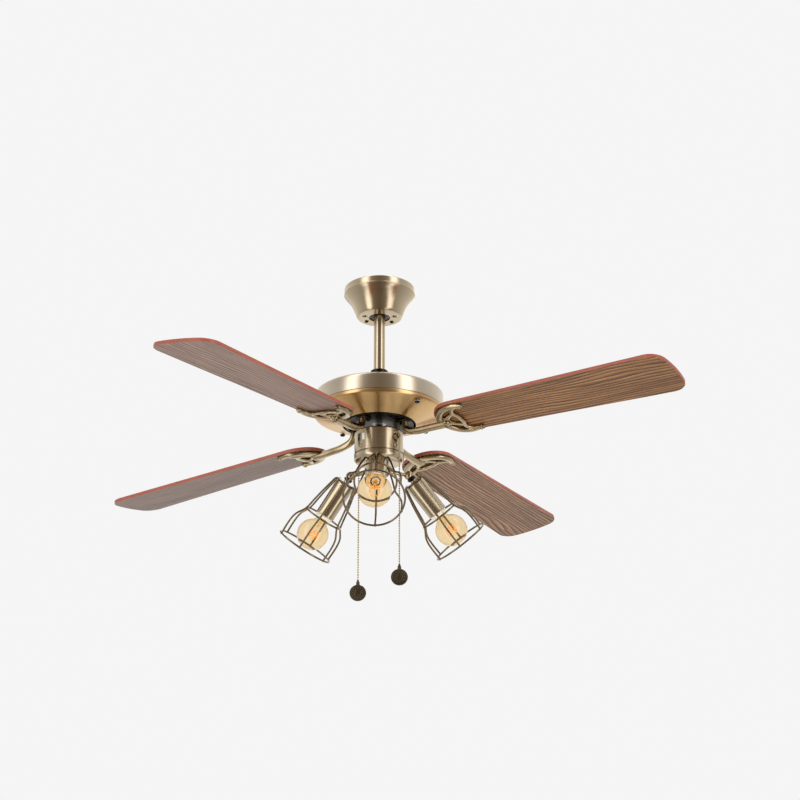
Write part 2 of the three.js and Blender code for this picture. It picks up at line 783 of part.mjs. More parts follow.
// The cage: a back disc, six bowed ribs, a middle ring and an end ring, welded together.
function cage() {
  const disc = toSolid(turnedRing([[5.2, 12.5], [17, 12.5], [17, 14.8], [5.2, 14.8]], 16));
  const rib = [
    [15.6, 0, 13.7],
    [19.5, 0, 14.4],
    [22.4, 0, 20],
    [28.5, 0, 47],
    [34.2, 0, 80],
    [41.4, 0, 92],
    [46.4, 0, 102],
    [48.5, 0, 117],
    [CAGE_RING_RADIUS + 0.3, 0, CAGE_RING_DISTANCE],
  ];
  const ribs = [];
  for (let i = 0; i < CAGE_RIBS; i += 1) {
    ribs.push(toSolid(spun(tube(rib, CAGE_WIRE_RADIUS, 4, 9), (360 / CAGE_RIBS) * i)));
  }
  const rings = [[33.4, 82.8, 18], [CAGE_RING_RADIUS, CAGE_RING_DISTANCE, 24]].map(([radius, height, segments]) => {
    const wire = circle(CAGE_WIRE_RADIUS, 4, radius, height);
    return toSolid(turnedRing(wire, segments));
  });
  return join([disc, ...ribs, ...rings]);
}

addPart(fan, 'hanger_bracket', hangerBracket(), steel);
addPart(fan, 'canopy', canopy(), brass);
CANOPY_SCREW_ANGLES.forEach((angle, index) => {
  addPart(fan, `canopy_screw_${index + 1}`, canopyScrew(), darkBronze).rotation.z = radians(angle);
});
addPart(fan, 'ball_liner', ballLiner(), nylon);
addPart(fan, 'hanger_ball', hangerBall(), blackPlastic);
addPart(fan, 'hanger_pin', hangerPin(), steel);
addPart(fan, 'downrod', downrod(), brass);
addPart(fan, 'yoke_collar', yokeCollar(), blackMetal);
addPart(fan, 'clevis_pin', clevisPin(), steel);
addPart(fan, 'upper_housing', upperHousing(), brass);
addPart(fan, 'lower_housing', lowerHousing(), brass);
HOUSING_SCREW_ANGLES.forEach((angle, index) => {
  addPart(fan, `housing_screw_${index + 1}`, housingScrew(), darkBronze).rotation.z = radians(angle);
});
addPart(fan, 'stator_core', statorCore(), steel);
addPart(fan, 'stator_windings', statorWindings(), copper);
addPart(fan, 'motor_shaft', motorShaft(), steel);
addPart(fan, 'upper_bearing', bearing(-200.5), steel);
addPart(fan, 'lower_bearing', bearing(-238), steel);
addPart(fan, 'rotor_upper', rotorUpper(), blackMetal);
addPart(fan, 'rotor_lower', rotorLower(), blackMetal);

BLADE_AZIMUTHS.forEach((azimuth, index) => {
  const arm = new THREE.Group();
  arm.rotation.z = radians(azimuth);
  fan.add(arm);
  addPart(arm, `blade_iron_${index + 1}`, bladeIron(BLADE_DROOPS[index]), castBrass);
  const leaf = addPart(arm, `blade_${index + 1}`, blade(), walnut);
  leaf.position.z = BLADE_PLANE_HEIGHT;
  leaf.rotation.set(radians(-BLADE_PITCH), radians(BLADE_DROOPS[index]), 0, 'YXZ');
});

addPart(fan, 'switch_housing', switchHousing(), brass);
addPart(fan, 'reverse_switch', reverseSwitch(), blackPlastic).rotation.z = radians(REVERSE_SWITCH_ANGLE);
addPart(fan, 'capacitor', toSolid(box(15, 34, 22, 24, 0, -280)), blackPlastic).rotation.z = radians(CAPACITOR_ANGLE);

const chains = [
  ['fan', FAN_CHAIN_ANGLE, FAN_FOB_HEIGHT],
  ['light', LIGHT_CHAIN_ANGLE, LIGHT_FOB_HEIGHT],
];
for (const [label, angle, height] of chains) {
  addPart(fan, `${label}_pull_switch`, pullSwitch(), blackPlastic).rotation.z = radians(angle);
  addPart(fan, `${label}_chain_ferrule`, ferrule(), castBrass).rotation.z = radians(angle);
  addPart(fan, `${label}_chain`, pullChain(height), castBrass).rotation.z = radians(angle);
  const disc = addPart(fan, `${label}_fob`, fob(height), darkBronze);
  disc.position.set(CHAIN_REACH * Math.cos(radians(angle)), CHAIN_REACH * Math.sin(radians(angle)), 0);
}

addPart(fan, 'light_fitter', lightFitter(), brass);
addPart(fan, 'lamp_hub', lampHub(), castBrass);
addPart(fan, 'finial', finial(), castBrass);

LAMP_AZIMUTHS.forEach((azimuth, index) => {
  const number = index + 1;
  const mount = new THREE.Group();
  mount.rotation.z = radians(azimuth);
  fan.add(mount);
  addPart(mount, `knuckle_${number}`, knuckle(), castBrass).position.set(KNUCKLE_REACH, 0, LAMP_ROD_HEIGHT);
  const lamp = new THREE.Group();
  lamp.position.set(KNUCKLE_REACH, 0, LAMP_ROD_HEIGHT);
  lamp.rotation.y = radians(90 + LAMP_SLOPES[index]);
  mount.add(lamp);
  addPart(lamp, `lamp_cup_${number}`, lampCup(), brass);
  addPart(lamp, `lampholder_${number}`, lampholder(), creamPlastic);
  addPart(lamp, `bulb_${number}`, bulb(), amberGlass);
  addPart(lamp, `cage_${number}`, cage(), darkBronze).rotation.z = radians(CAGE_TWISTS[index]);
});

export default fan;
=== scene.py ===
import json
import math

import bmesh
import bpy
from mathutils import Matrix, Vector


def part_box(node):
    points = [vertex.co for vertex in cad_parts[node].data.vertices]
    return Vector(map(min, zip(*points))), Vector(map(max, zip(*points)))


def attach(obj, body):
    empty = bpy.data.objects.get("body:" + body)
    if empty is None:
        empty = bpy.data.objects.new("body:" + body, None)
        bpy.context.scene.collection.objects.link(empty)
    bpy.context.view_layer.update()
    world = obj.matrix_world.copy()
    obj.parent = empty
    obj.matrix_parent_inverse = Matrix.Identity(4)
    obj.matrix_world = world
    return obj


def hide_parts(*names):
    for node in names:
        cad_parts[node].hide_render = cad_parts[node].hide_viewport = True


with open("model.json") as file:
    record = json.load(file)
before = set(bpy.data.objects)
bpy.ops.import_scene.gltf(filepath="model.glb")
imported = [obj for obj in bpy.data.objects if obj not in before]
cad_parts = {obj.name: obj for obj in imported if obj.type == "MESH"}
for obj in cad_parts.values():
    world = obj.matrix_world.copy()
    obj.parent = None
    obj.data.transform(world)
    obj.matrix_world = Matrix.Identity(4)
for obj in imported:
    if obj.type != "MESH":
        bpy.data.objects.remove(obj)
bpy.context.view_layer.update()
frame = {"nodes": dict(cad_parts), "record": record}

MM = 0.001
joints = {joint["name"]: joint for joint in frame["record"]["behaviour"]["joints"]}

# Camera, as the photograph sees the fan: from below and in front.
CAMERA_AT = (0, -2.873, -1.32785)
CAMERA_TILT = 111.4
CAMERA_TURN = -0.69
LENS = 83.57

# Places round the fan's axis, in degrees
PULLS = {"fan": -47.6, "light": 132.4}
SLIDER_AT = 216.3
PLATE_AT = 231
COVER_SCREWS_AT = (222, 312, 42)


def make_camera():
    data = bpy.data.cameras.new("camera")
    data.sensor_width = 36
    data.lens = LENS
    data.clip_end = 50
    camera = bpy.data.objects.new("camera", data)
    camera.location = CAMERA_AT
    camera.rotation_euler = (math.radians(CAMERA_TILT), 0, math.radians(CAMERA_TURN))
    bpy.context.collection.objects.link(camera)
    bpy.context.scene.camera = camera


make_camera()


def low(node, axis):
    """A CAD node's lowest coordinate along an axis, in millimetres."""
    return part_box(node)[0][axis] / MM


def high(node, axis):
    """A CAD node's highest coordinate along an axis, in millimetres."""
    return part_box(node)[1][axis] / MM


def extent(node):
    """A CAD node's top, bottom and radius, in millimetres."""
    return high(node, 2), low(node, 2), high(node, 0)


def centre(node):
    """The middle of a CAD node's box, in millimetres."""
    return Vector([(low(node, axis) + high(node, axis)) / 2 for axis in range(3)])


# Material recipes
BRUSH_LINES = 1300.0  # per metre across the brushing
BRUSH_STREAKS = 22.0  # per metre along it
PATINA = 0.1
GROWTH_LINES = 150.0  # of the walnut, per metre


class Nodes:
    """A node tree being built."""

    def __init__(self, tree):
        self.tree = tree

    def node(self, kind, settings=None, **inputs):
        made = self.tree.nodes.new(kind)
        for key, value in (settings or {}).items():
            setattr(made, key, value)
        for key, value in inputs.items():
            socket = made.inputs[int(key[1:])] if key[0] == "i" and key[1:].isdigit() else made.inputs[key]
            if isinstance(value, bpy.types.NodeSocket):
                self.tree.links.new(value, socket)
            else:
                socket.default_value = value
        return made

    def math(self, operation, first, second=0.0, third=0.0):
        made = self.node("ShaderNodeMath", {"operation": operation}, i0=first, i1=second, i2=third)
        return made.outputs[0]

    def times(self, first, second):
        return self.math("MULTIPLY", first, second)

    def plus(self, first, second):
        return self.math("ADD", first, second)

    def ramp(self, factor, stops):
        made = self.node("ShaderNodeValToRGB", Fac=factor)
        elements = made.color_ramp.elements
        while len(elements) < len(stops):
            elements.new(0.5)
        for element, (place, colour) in zip(elements, stops):
            element.position = place
            element.color = (*colour, 1) if len(colour) == 3 else colour
        return made.outputs["Color"]


class Recipe(Nodes):
    """A node material being built round its Principled shader."""

    def __init__(self, name, **settings):
        self.material = bpy.data.materials.new(name)
        self.material.use_nodes = True
        super().__init__(self.material.node_tree)
        self.shader = self.tree.nodes["Principled BSDF"]
        for key, value in settings.items():
            self.shader.inputs[key.replace("_", " ")].default_value = value

    def noise(self, vector, scale, detail=3.0, roughness=0.55, distortion=0.0):
        settings = {"Scale": scale, "Detail": detail, "Roughness": roughness, "Distortion": distortion}
        return self.node("ShaderNodeTexNoise", Vector=vector, **settings).outputs["Fac"]

    def scaled(self, vector, scale):
        return self.node("ShaderNodeMapping", Vector=vector, Scale=scale).outputs[0]

    def multiplied(self, first, second):
        settings = {"data_type": "RGBA", "blend_type": "MULTIPLY"}
        return self.node("ShaderNodeMix", settings, i0=1.0, i6=first, i7=second).outputs[2]

    def geometry(self, output):
        return self.node("ShaderNodeNewGeometry").outputs[output]

    def spot(self):
        return self.node("ShaderNodeTexCoord").outputs["Object"]

    def bump(self, height, strength, distance):
        made = self.node("ShaderNodeBump", Strength=strength, Distance=distance, Height=height)
        self.link(made.outputs["Normal"], "Normal")

    def uneven(self, factor, least, most, start=0.3, end=0.7):
        """Roughness from least to most as the factor goes from start to end."""
        span = {"From Min": start, "From Max": end, "To Min": least, "To Max": most}
        self.link(self.node("ShaderNodeMapRange", Value=factor, **span).outputs[0], "Roughness")

    def link(self, socket, name):
        self.tree.links.new(socket, self.shader.inputs[name])


def shade(colour, factor):
    return tuple(channel * factor for channel in colour)


def turned_metal(name, colour, roughness, anisotropy):
    """Metal brushed on a lathe: fine lines round the piece's own Z axis, and a darker patina in soft clouds."""
    recipe = Recipe(name, Metallic=1.0, Anisotropic=anisotropy, Anisotropic_Rotation=0.25)
    spot = recipe.spot()
    x, y, z = recipe.node("ShaderNodeSeparateXYZ", i0=spot).outputs
    around = recipe.math("ARCTAN2", y, x)
    across = recipe.math("SQRT", recipe.plus(recipe.times(x, x), recipe.times(y, y)))
    lines = recipe.node(
        "ShaderNodeCombineXYZ",
        i0=recipe.times(across, BRUSH_LINES),
        i1=recipe.times(recipe.times(around, across), BRUSH_STREAKS),
        i2=recipe.times(z, BRUSH_LINES),
    ).outputs[0]
    fine = recipe.noise(lines, 1.0, 4.0, 0.6)
    cloud = recipe.noise(spot, 14.0, 3.0, 0.5, 0.2)
    mixed = recipe.plus(recipe.times(fine, 0.22), recipe.times(cloud, 0.78))
    tone = recipe.ramp(mixed, [(0.32, shade(colour, 1 - PATINA)), (0.5, colour), (0.7, shade(colour, 1.1))])
    recipe.link(tone, "Base Color")
    recipe.uneven(fine, roughness * 0.96, roughness * 1.04)
    tangent = recipe.node("ShaderNodeTangent", {"direction_type": "RADIAL", "axis": "Z"})
    recipe.link(tangent.outputs[0], "Tangent")
    recipe.bump(fine, 0.01, 0.00001)
    return recipe.material


def cast_metal(name, colour, roughness, pit=0.12, metallic=1.0, wear_and_highlight_colour=None):
    """Cast or plated metal: soft pits, cloudy tone, recesses darkened as patina and painted shade, and sharp edges
    brightened as wear and painted highlight.
    """
    recipe = Recipe(name, Metallic=metallic)
    spot = recipe.spot()
    cloud = recipe.noise(spot, 40.0, 3.0, 0.5)
    # Painted highlight, partly wear: where Pointiness is high, on sharp edges, the colour is mixed up to a third of
    # the way toward a brighter colour.
    edge = recipe.ramp(recipe.geometry("Pointiness"), [(0.52, (0, 0, 0)), (0.66, (1, 1, 1))])
    # Painted shade, partly patina: where Pointiness is low, in recesses, the colour is darkened to about 0.4.
    hollow_patina_and_shade = recipe.ramp(recipe.geometry("Pointiness"), [(0.4, (0.4, 0.36, 0.3)), (0.5, (1, 1, 1))])
    cloudy = recipe.ramp(cloud, [(0.3, shade(colour, 0.75)), (0.5, colour), (0.72, shade(colour, 1.12))])
    edge_wear_and_highlight = recipe.node(
        "ShaderNodeMix",
        {"data_type": "RGBA"},
        i0=recipe.times(edge, 0.35),
        i6=recipe.multiplied(cloudy, hollow_patina_and_shade),
        i7=(*(wear_and_highlight_colour or shade(colour, 1.6)), 1),
    )
    recipe.link(edge_wear_and_highlight.outputs[2], "Base Color")
    recipe.uneven(cloud, roughness * 0.75, roughness * 1.3)
    recipe.bump(recipe.noise(spot, 900.0, 3.0, 0.6), pit, 0.00008)
    return recipe.material


def moulded(name, colour, roughness):
    """Moulded plastic or nylon: a faint grain, slight mottling and uneven gloss."""
    recipe = Recipe(name)
    spot = recipe.spot()
    mottle = recipe.noise(spot, 90.0, 4.0, 0.6)
    recipe.link(recipe.ramp(mottle, [(0.3, shade(colour, 0.86)), (0.7, shade(colour, 1.08))]), "Base Color")
    recipe.uneven(mottle, roughness * 0.85, roughness * 1.15)
    recipe.bump(recipe.noise(spot, 2600.0, 2.0, 0.5), 0.08, 0.0001)
    return recipe.material


def wood(name, dark, middle, light, offset):
    """Open-grained wood along the piece's X axis: uneven growth lines, streaks, pores and a satin lacquer."""
    recipe = Recipe(name, Coat_Weight=0.05, Coat_Roughness=0.3, Specular_IOR_Level=0.3)
    shift = (offset, offset * 0.37, offset * 0.11)
    moved = recipe.node("ShaderNodeMapping", Vector=recipe.spot(), Location=shift).outputs[0]
    wander = recipe.noise(recipe.scaled(moved, (2.4, 10.0, 10.0)), 1.0, 2.0, 0.5)
    wobble = recipe.noise(recipe.scaled(moved, (26.0, 60.0, 60.0)), 1.0, 2.0, 0.5)
    across = recipe.node("ShaderNodeSeparateXYZ", i0=moved).outputs[1]
    bent = recipe.plus(recipe.times(across, GROWTH_LINES), recipe.times(wander, 8.0))
    bent = recipe.plus(bent, recipe.times(wobble, 0.4))
    band = recipe.math("POWER", recipe.math("FRACT", bent), 2.2)
    streak = recipe.noise(recipe.scaled(moved, (9.0, 300.0, 300.0)), 1.0, 3.0, 0.6)
    pores = recipe.noise(recipe.scaled(moved, (45.0, 1100.0, 1100.0)), 1.0, 2.0, 0.6)
    fine = recipe.plus(recipe.times(streak, 0.5), recipe.times(pores, 0.24))
    mixed = recipe.plus(recipe.times(band, 0.34), fine)
    tone = recipe.ramp(mixed, [(0.28, light), (0.46, middle), (0.7, dark)])
    broad = recipe.noise(recipe.scaled(moved, (2.0, 9.0, 9.0)), 1.0, 2.0)
    broad = recipe.ramp(broad, [(0.3, (0.84, 0.84, 0.84)), (0.7, (1.1, 1.1, 1.1))])
    recipe.link(recipe.multiplied(tone, broad), "Base Color")
    recipe.uneven(mixed, 0.4, 0.6, 0.2, 0.8)
    recipe.bump(mixed, 0.12, 0.0003)
    return recipe.material


def edge_band(name, colour):
    """The blade's edge banding: a thin painted veneer with faint lengthwise streaks."""
    recipe = Recipe(name, Coat_Weight=0.1)
    streak = recipe.noise(recipe.scaled(recipe.spot(), (30.0, 400.0, 900.0)), 1.0, 3.0)
    recipe.link(recipe.ramp(streak, [(0.3, shade(colour, 0.72)), (0.7, shade(colour, 1.15))]), "Base Color")
    recipe.uneven(streak, 0.4, 0.6, 0.0, 1.0)
    return recipe.material


def amber_glass(name):
    """Amber glass in a slightly uneven tone, deeper towards its outline, with a glossy outer face."""
    recipe = Recipe(name, Transmission_Weight=1.0, Roughness=0.0, IOR=1.01)
    recipe.link(recipe.math("SUBTRACT", 1.0, recipe.geometry("Backfacing")), "Coat Weight")
    cloud = recipe.noise(recipe.spot(), 45.0, 2.0)
    tone = recipe.ramp(cloud, [(0.3, (0.88, 0.65, 0.34)), (0.7, (0.96, 0.76, 0.46))])
    facing = recipe.node("ShaderNodeLayerWeight", Blend=0.3).outputs["Facing"]
    rim = recipe.ramp(facing, [(0.25, (1, 1, 1)), (0.8, (0.66, 0.46, 0.24))])
    recipe.link(recipe.multiplied(tone, rim), "Base Color")
    return recipe.material


def glow(name):
    """The hot filament, its colour a little uneven along each strand."""
    recipe = Recipe(name, Roughness=0.5, Emission_Strength=0.55)
    flicker = recipe.noise(recipe.spot(), 300.0, 2.0)
    tone = recipe.ramp(flicker, [(0.3, (0.75, 0.25, 0.03)), (0.7, (0.9, 0.42, 0.08))])
    recipe.link(tone, "Base Color")
    recipe.link(tone, "Emission Color")
    return recipe.material


BRASS = (0.52, 0.43, 0.3)
TURNED = {
    "brushed_brass": (BRASS, 0.26, 0.75),
    "drum_brass": ((0.6, 0.52, 0.41), 0.31, 0.75),
    # The drum top's brass: a rougher satin finish, and darkened to 0.72 as painted shade against the bright
    # reflection the flat top catches.
    "satin_brass": (shade(BRASS, 0.72), 0.5, 0.3),
    "bowl_brass": ((0.62, 0.41, 0.19), 0.3, 0.9),
}
# A row holds colour, roughness, pits, metallic and, where given, the brighter colour of sharp edges: partly wear,
# partly painted highlight.
CAST = {
    "cast_brass": ((0.46, 0.37, 0.23), 0.2, 0.03, 1.0, (0.66, 0.55, 0.36)),
    "black_metal": ((0.02, 0.016, 0.013), 0.24, 0.15, 0.9, (0.16, 0.13, 0.1)),
    "steel": ((0.52, 0.52, 0.53), 0.34),
    "chain_brass": ((0.5, 0.38, 0.19), 0.22, 0.03),
    "dark_bronze": ((0.1, 0.08, 0.05), 0.38, 0.25, 0.85, (0.34, 0.27, 0.16)),
    "cage_wire": ((0.2, 0.155, 0.1), 0.1, 0.02, 1.0, (0.42, 0.34, 0.22)),
    "copper": ((0.55, 0.24, 0.11), 0.35),
}
MOULDED = {
    "cream_plastic": ((0.86, 0.8, 0.64), 0.4),
    "black_plastic": ((0.014, 0.014, 0.015), 0.4),
    "white_plastic": ((0.8, 0.78, 0.72), 0.45),
    "nylon": ((0.72, 0.72, 0.68), 0.5),
}
looks = {
    "amber_glass": amber_glass("amber_glass"),
    "filament": glow("filament"),
    "edge_band": edge_band("edge_band", (0.34, 0.085, 0.05)),
    "cherry_wood": wood("cherry_wood", (0.16, 0.05, 0.025), (0.3, 0.1, 0.05), (0.42, 0.17, 0.09), 3.1),
}
for make, table in ((turned_metal, TURNED), (cast_metal, CAST), (moulded, MOULDED)):
    looks |= {name: make(name, *values) for name, values in table.items()}


# Geometry helpers; lengths are in millimetres until the mesh is made.
ON_AXIS = 1e-6
ARC_STEPS = 4


def curve_through(points, steps):
    """Points of a smooth curve through the given ones."""
    ends = [points[0]] + [*points] + [points[-1]]
    vectors = [Vector(point) for point in ends]
    result = []
    for a, b, c, d in zip(vectors, vectors[1:], vectors[2:], vectors[3:]):
        for i in range(steps):
            t = i / steps
            bend = (2 * a - 5 * b + 4 * c - d) * t * t + (3 * b - a - 3 * c + d) * t**3
            result.append(0.5 * (2 * b + (c - a) * t + bend))
    result.append(vectors[-2])
    return result


def curved_profile(profile, steps):
    return [(point.x, point.z) for point in curve_through([(r, 0, z) for r, z in profile], steps)]


def raised(height, profile):
    """A profile of (radius, height) moved up."""
    return [(radius, height + z) for radius, z in profile]


def eased(profile, radius):
    """A profile with each corner off the axis rounded by a small arc."""
    points = [Vector(point) for point in profile]
    result = []
    for i, here in enumerate(points):
        back = points[i - 1] - here
        ahead = points[(i + 1) % len(points)] - here
        if back.length < ON_AXIS or ahead.length < ON_AXIS or here[0] < ON_AXIS:
            result.append(here)
            continue
        reach = min(radius, back.length * 0.45, ahead.length * 0.45)
        start = here + back.normalized() * reach
        end = here + ahead.normalized() * reach
        for step in range(ARC_STEPS + 1):
            t = step / ARC_STEPS
            result.append(start * (1 - t) ** 2 + here * 2 * t * (1 - t) + end * t * t)
    return result


def finish_mesh(name, work, material, matrix=None, sharp=32.0):
    """Turns a bmesh in millimetres into an object in metres, smooth but for its sharp edges."""
    bmesh.ops.remove_doubles(work, verts=work.verts, dist=0.0005)
    bmesh.ops.recalc_face_normals(work, faces=work.faces)
    bmesh.ops.scale(work, vec=(MM, MM, MM), verts=work.verts)
    limit = math.radians(sharp)
    for edge in work.edges:
        edge.smooth = len(edge.link_faces) != 2 or edge.calc_face_angle(0) < limit
    for face in work.faces:
        face.smooth = True
    mesh = bpy.data.meshes.new(name)
    work.to_mesh(mesh)
    work.free()
    made = bpy.data.objects.new(name, mesh)
    bpy.context.collection.objects.link(made)
    mesh.materials.append(material)
    if matrix is not None:
        made.matrix_world = matrix
    return made


def bridge(work, rings, closed):
    """Joins rings of vertices by faces; a ring of one vertex is a pole."""
    pairs = list(zip(rings, rings[1:]))
    if closed:
        pairs.append((rings[-1], rings[0]))
    for first, second in pairs:
        count = max(len(first), len(second))
        for i in range(count):
            j = (i + 1) % count
            corners = [(first, i), (first, j), (second, j), (second, i)]
            kept = list(dict.fromkeys(ring[k % len(ring)] for ring, k in corners))
            if len(kept) > 2:
                work.faces.new(kept)


def add_lathe(work, profile, segments, ease=0.0, matrix=None):
    """Turns a profile of (radius, height) about Z. One that starts on the axis ends there; any other is closed."""
    closed = profile[0][0] > ON_AXIS
    rings = []
    for radius, height in eased(profile, ease) if ease else profile:
        ring = []
        for i in range(segments if radius > ON_AXIS else 1):
            angle = 2 * math.pi * i / segments
            ring.append(work.verts.new((radius * math.cos(angle), radius * math.sin(angle), height)))
        rings.append(ring)
    bridge(work, rings, closed)
    if matrix is not None:
        bmesh.ops.transform(work, matrix=matrix, verts=[vert for ring in rings for vert in ring])


def add_tube(work, points, radii, sides, closed=False, flatten=1.0, up=None):
    """Sweeps a round or flattened section along points into the bmesh."""
    points = [Vector(point) for point in points]
    count = len(points)
    rings = []
    normal = None
    for i, point in enumerate(points):
        if closed:
            along = (points[(i + 1) % count] - points[i - 1]).normalized()
        else:
            along = (points[min(i + 1, count - 1)] - points[max(i - 1, 0)]).normalized()
        if up is not None:
            normal = up
        elif normal is None:
            normal = Vector((0, 0, 1)) if abs(along.z) < 0.9 else Vector((1, 0, 0))
        normal = (normal - along * normal.dot(along)).normalized()
        side = along.cross(normal)
        radius = radii[i] if isinstance(radii, list) else radii
        ring = []
        for k in range(sides):
            angle = 2 * math.pi * k / sides
            offset = normal * (radius * flatten * math.sin(angle)) + side * (radius * math.cos(angle))
            ring.append(work.verts.new(point + offset))
        rings.append(ring)
    bridge(work, rings, closed)
    if not closed:
        work.faces.new(rings[0][::-1])
        work.faces.new(rings[-1])


def add_block(work, size, place, bevel, matrix=None, segments=3):
    """A small block with rounded edges."""
    made = bmesh.ops.create_cube(work, size=1.0)["verts"]
    bmesh.ops.scale(work, vec=size, verts=made)
    bmesh.ops.translate(work, vec=place, verts=made)
    edges = list({edge for vert in made for edge in vert.link_edges})
    result = bmesh.ops.bevel(work, geom=edges, offset=bevel, segments=segments, profile=0.5, affect="EDGES")
    if matrix is not None:
        verts = {vert for face in result["faces"] for vert in face.verts} | {vert for vert in made if vert.is_valid}
        bmesh.ops.transform(work, matrix=matrix, verts=list(verts))


def place(made, body, slot, *nodes):
    """Hangs a piece on its body and stands it for its CAD nodes; slot is not used."""
    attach(made, body)
    if nodes:
        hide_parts(*nodes)
    return made


def turn_about(axis, degrees):
    return Matrix.Rotation(math.radians(degrees), 4, axis)


def turn_z(degrees):
    return turn_about("Z", degrees)


def shift(x, y, z=0):
    return Matrix.Translation((x, y, z))


def build(name, work, look, body, *nodes, matrix=None, sharp=32.0, slot=None):
    return place(finish_mesh(name, work, looks[look], matrix, sharp), body, slot or look, *nodes)


def lathe(name, profile, look, body, *nodes, segments=128, ease=0.35, matrix=None, slot=None):
    work = bmesh.new()
    add_lathe(work, profile, segments, ease)
    return build(name, work, look, body, *nodes, matrix=matrix, slot=slot)


def cut_out(made, cutters):
    """Cuts shapes out of a piece and removes them."""
    for cutter in cutters:
        modifier = made.modifiers.new("cut", "BOOLEAN")
        modifier.operation = "DIFFERENCE"
        modifier.solver = "EXACT"
        modifier.object = cutter
        bpy.context.view_layer.update()
        graph = bpy.context.evaluated_depsgraph_get()
        mesh = bpy.data.meshes.new_from_object(made.evaluated_get(graph))
        made.modifiers.clear()
        made.data = mesh
        bpy.data.objects.remove(cutter)


def slab(size, place_at, matrix=None):
    """A plain cutter."""
    work = bmesh.new()
    add_block(work, size, place_at, 0.3, None, 2)
    return finish_mesh("cutter", work, looks["steel"], matrix)


# Pull chains: free bead chains from each ferrule down to its fob.
BEAD = 1.5
BEAD_STEP = 4.2


def chain_route(label, angle):
    """The chain's centreline, in millimetres: level out of the ferrule, over its lip and straight down."""
    turn = turn_z(angle)
    reach = centre(label + "_fob").xy.length
    outlet = centre(label + "_chain_ferrule").z
    straight_from = outlet - 6
    drop = low(label + "_chain", 2) - straight_from
    bend = [(-1.9, -0.2), (-0.7, -0.9), (0, -2.8), (0, -6)]
    bent = curve_through([(reach + x, 0, outlet + z) for x, z in bend], 6)
    straight = [Vector((reach, 0, straight_from + drop * i / 40)) for i in range(1, 41)]
    return [turn @ point for point in bent + straight]


def along_route(route, step):
    """Points every step along a route."""
    result = [route[0].copy()]
    left = step
    for a, b in zip(route, route[1:]):
        span = (b - a).length
        place_on = 0.0
        while span - place_on >= left:
            place_on += left
            result.append(a.lerp(b, place_on / span))
            left = step
        left -= span - place_on
    return result


def pull_chain(label, angle):
    route = chain_route(label, angle)
    length = sum((b - a).length for a, b in zip(route, route[1:]))
    count = round(length / BEAD_STEP)
    work = bmesh.new()
    for point in along_route(route, (length - 0.01) / count):
        made = bmesh.ops.create_icosphere(work, subdivisions=2, radius=BEAD)["verts"]
        bmesh.ops.translate(work, vec=point, verts=made)
    add_tube(work, route, 0.45, 6)
    body = label + "_pull"
    chain = build(label + "_bead_chain", work, "chain_brass", body, label + "_chain", sharp=60)
    fob = pull_fob(label)


def pull_fob(label):
    """A dark bronze coin with a raised rim and a plain ring of drops, under a small bell."""
    node = label + "_fob"
    middle = centre(node)
    radius = (high(node, 0) - low(node, 0)) / 2
    coin_centre = Vector((middle.x, middle.y, low(node, 2) + radius))
    face_on = Matrix.Translation(coin_centre) @ turn_about("X", 90)
    work = bmesh.new()
    side = [
        (0, 1.15), (4.4, 1.15), (4.8, 1.75), (5.6, 1.75), (6.0, 1.15),
        (10.6, 1.15), (11.2, 1.8), (12.9, 1.8), (radius, 1.1),
    ]
    add_lathe(work, side + [(r, -h) for r, h in reversed(side)], 72, 0.35, face_on)
    for face in (-1, 1):
        for i in range(12):
            angle = math.radians(30 * i)
            drop = bmesh.ops.create_uvsphere(work, u_segments=10, v_segments=6, radius=1.0)["verts"]
            bmesh.ops.scale(work, vec=(1, 0.6, 1), verts=drop)
            spot = Vector((8.3 * math.cos(angle), face * 1.15, 8.3 * math.sin(angle)))
            bmesh.ops.translate(work, vec=coin_centre + spot, verts=drop)
    bell = [
        (0, -10), (2.0, -10), (2.9, -8.6), (3.2, -6.4), (2.6, -4.6),
        (2.9, -3.6), (1.9, -2.4), (1.6, -0.2), (0, -0.1),
    ]
    add_lathe(work, raised(high(node, 2), bell), 32, 0.5, shift(middle.x, middle.y))
    return build(label + "_pendant", work, "dark_bronze", label + "_pull", node)


for label, angle in PULLS.items():
    pull_chain(label, angle)


# Screws share one head with a cross recess.
def cross_head(name, radius, height):
    work = bmesh.new()
    dome = [(0, 0), (1, 0), (1, 0.35), (0.86, 0.78), (0.5, 0.97), (0, 1)]
    add_lathe(work, [(radius * r, height * z) for r, z in dome], 40, 0.25)
    head = finish_mesh(name, work, looks["black_metal"])
    size, at = (radius * 1.15, radius * 0.26, height), (0, 0, height * 1.05)
    cut_out(head, [slab(size, at), slab(size, at, turn_z(90))])
    mesh = head.data
    bpy.data.objects.remove(head)
    return mesh


HEADS = {"small": cross_head("small_cross_head", 3.1, 2.0), "wide": cross_head("wide_cross_head", 4.1, 2.6)}


def screw(name, kind, seat, outward, body, *nodes, twist=20.0, look="black_metal"):
    """A screw head seated at a point and facing outward."""
    made = bpy.data.objects.new(name, HEADS[kind].copy())
    bpy.context.collection.objects.link(made)
    for i in range(len(made.data.materials)):
        made.data.materials[i] = looks[look]
    facing = Vector(outward).to_track_quat("Z", "Y").to_matrix().to_4x4()
    made.matrix_world = Matrix.Translation(Vector(seat) * MM) @ facing @ turn_z(twist)
    return place(made, body, look, *nodes)


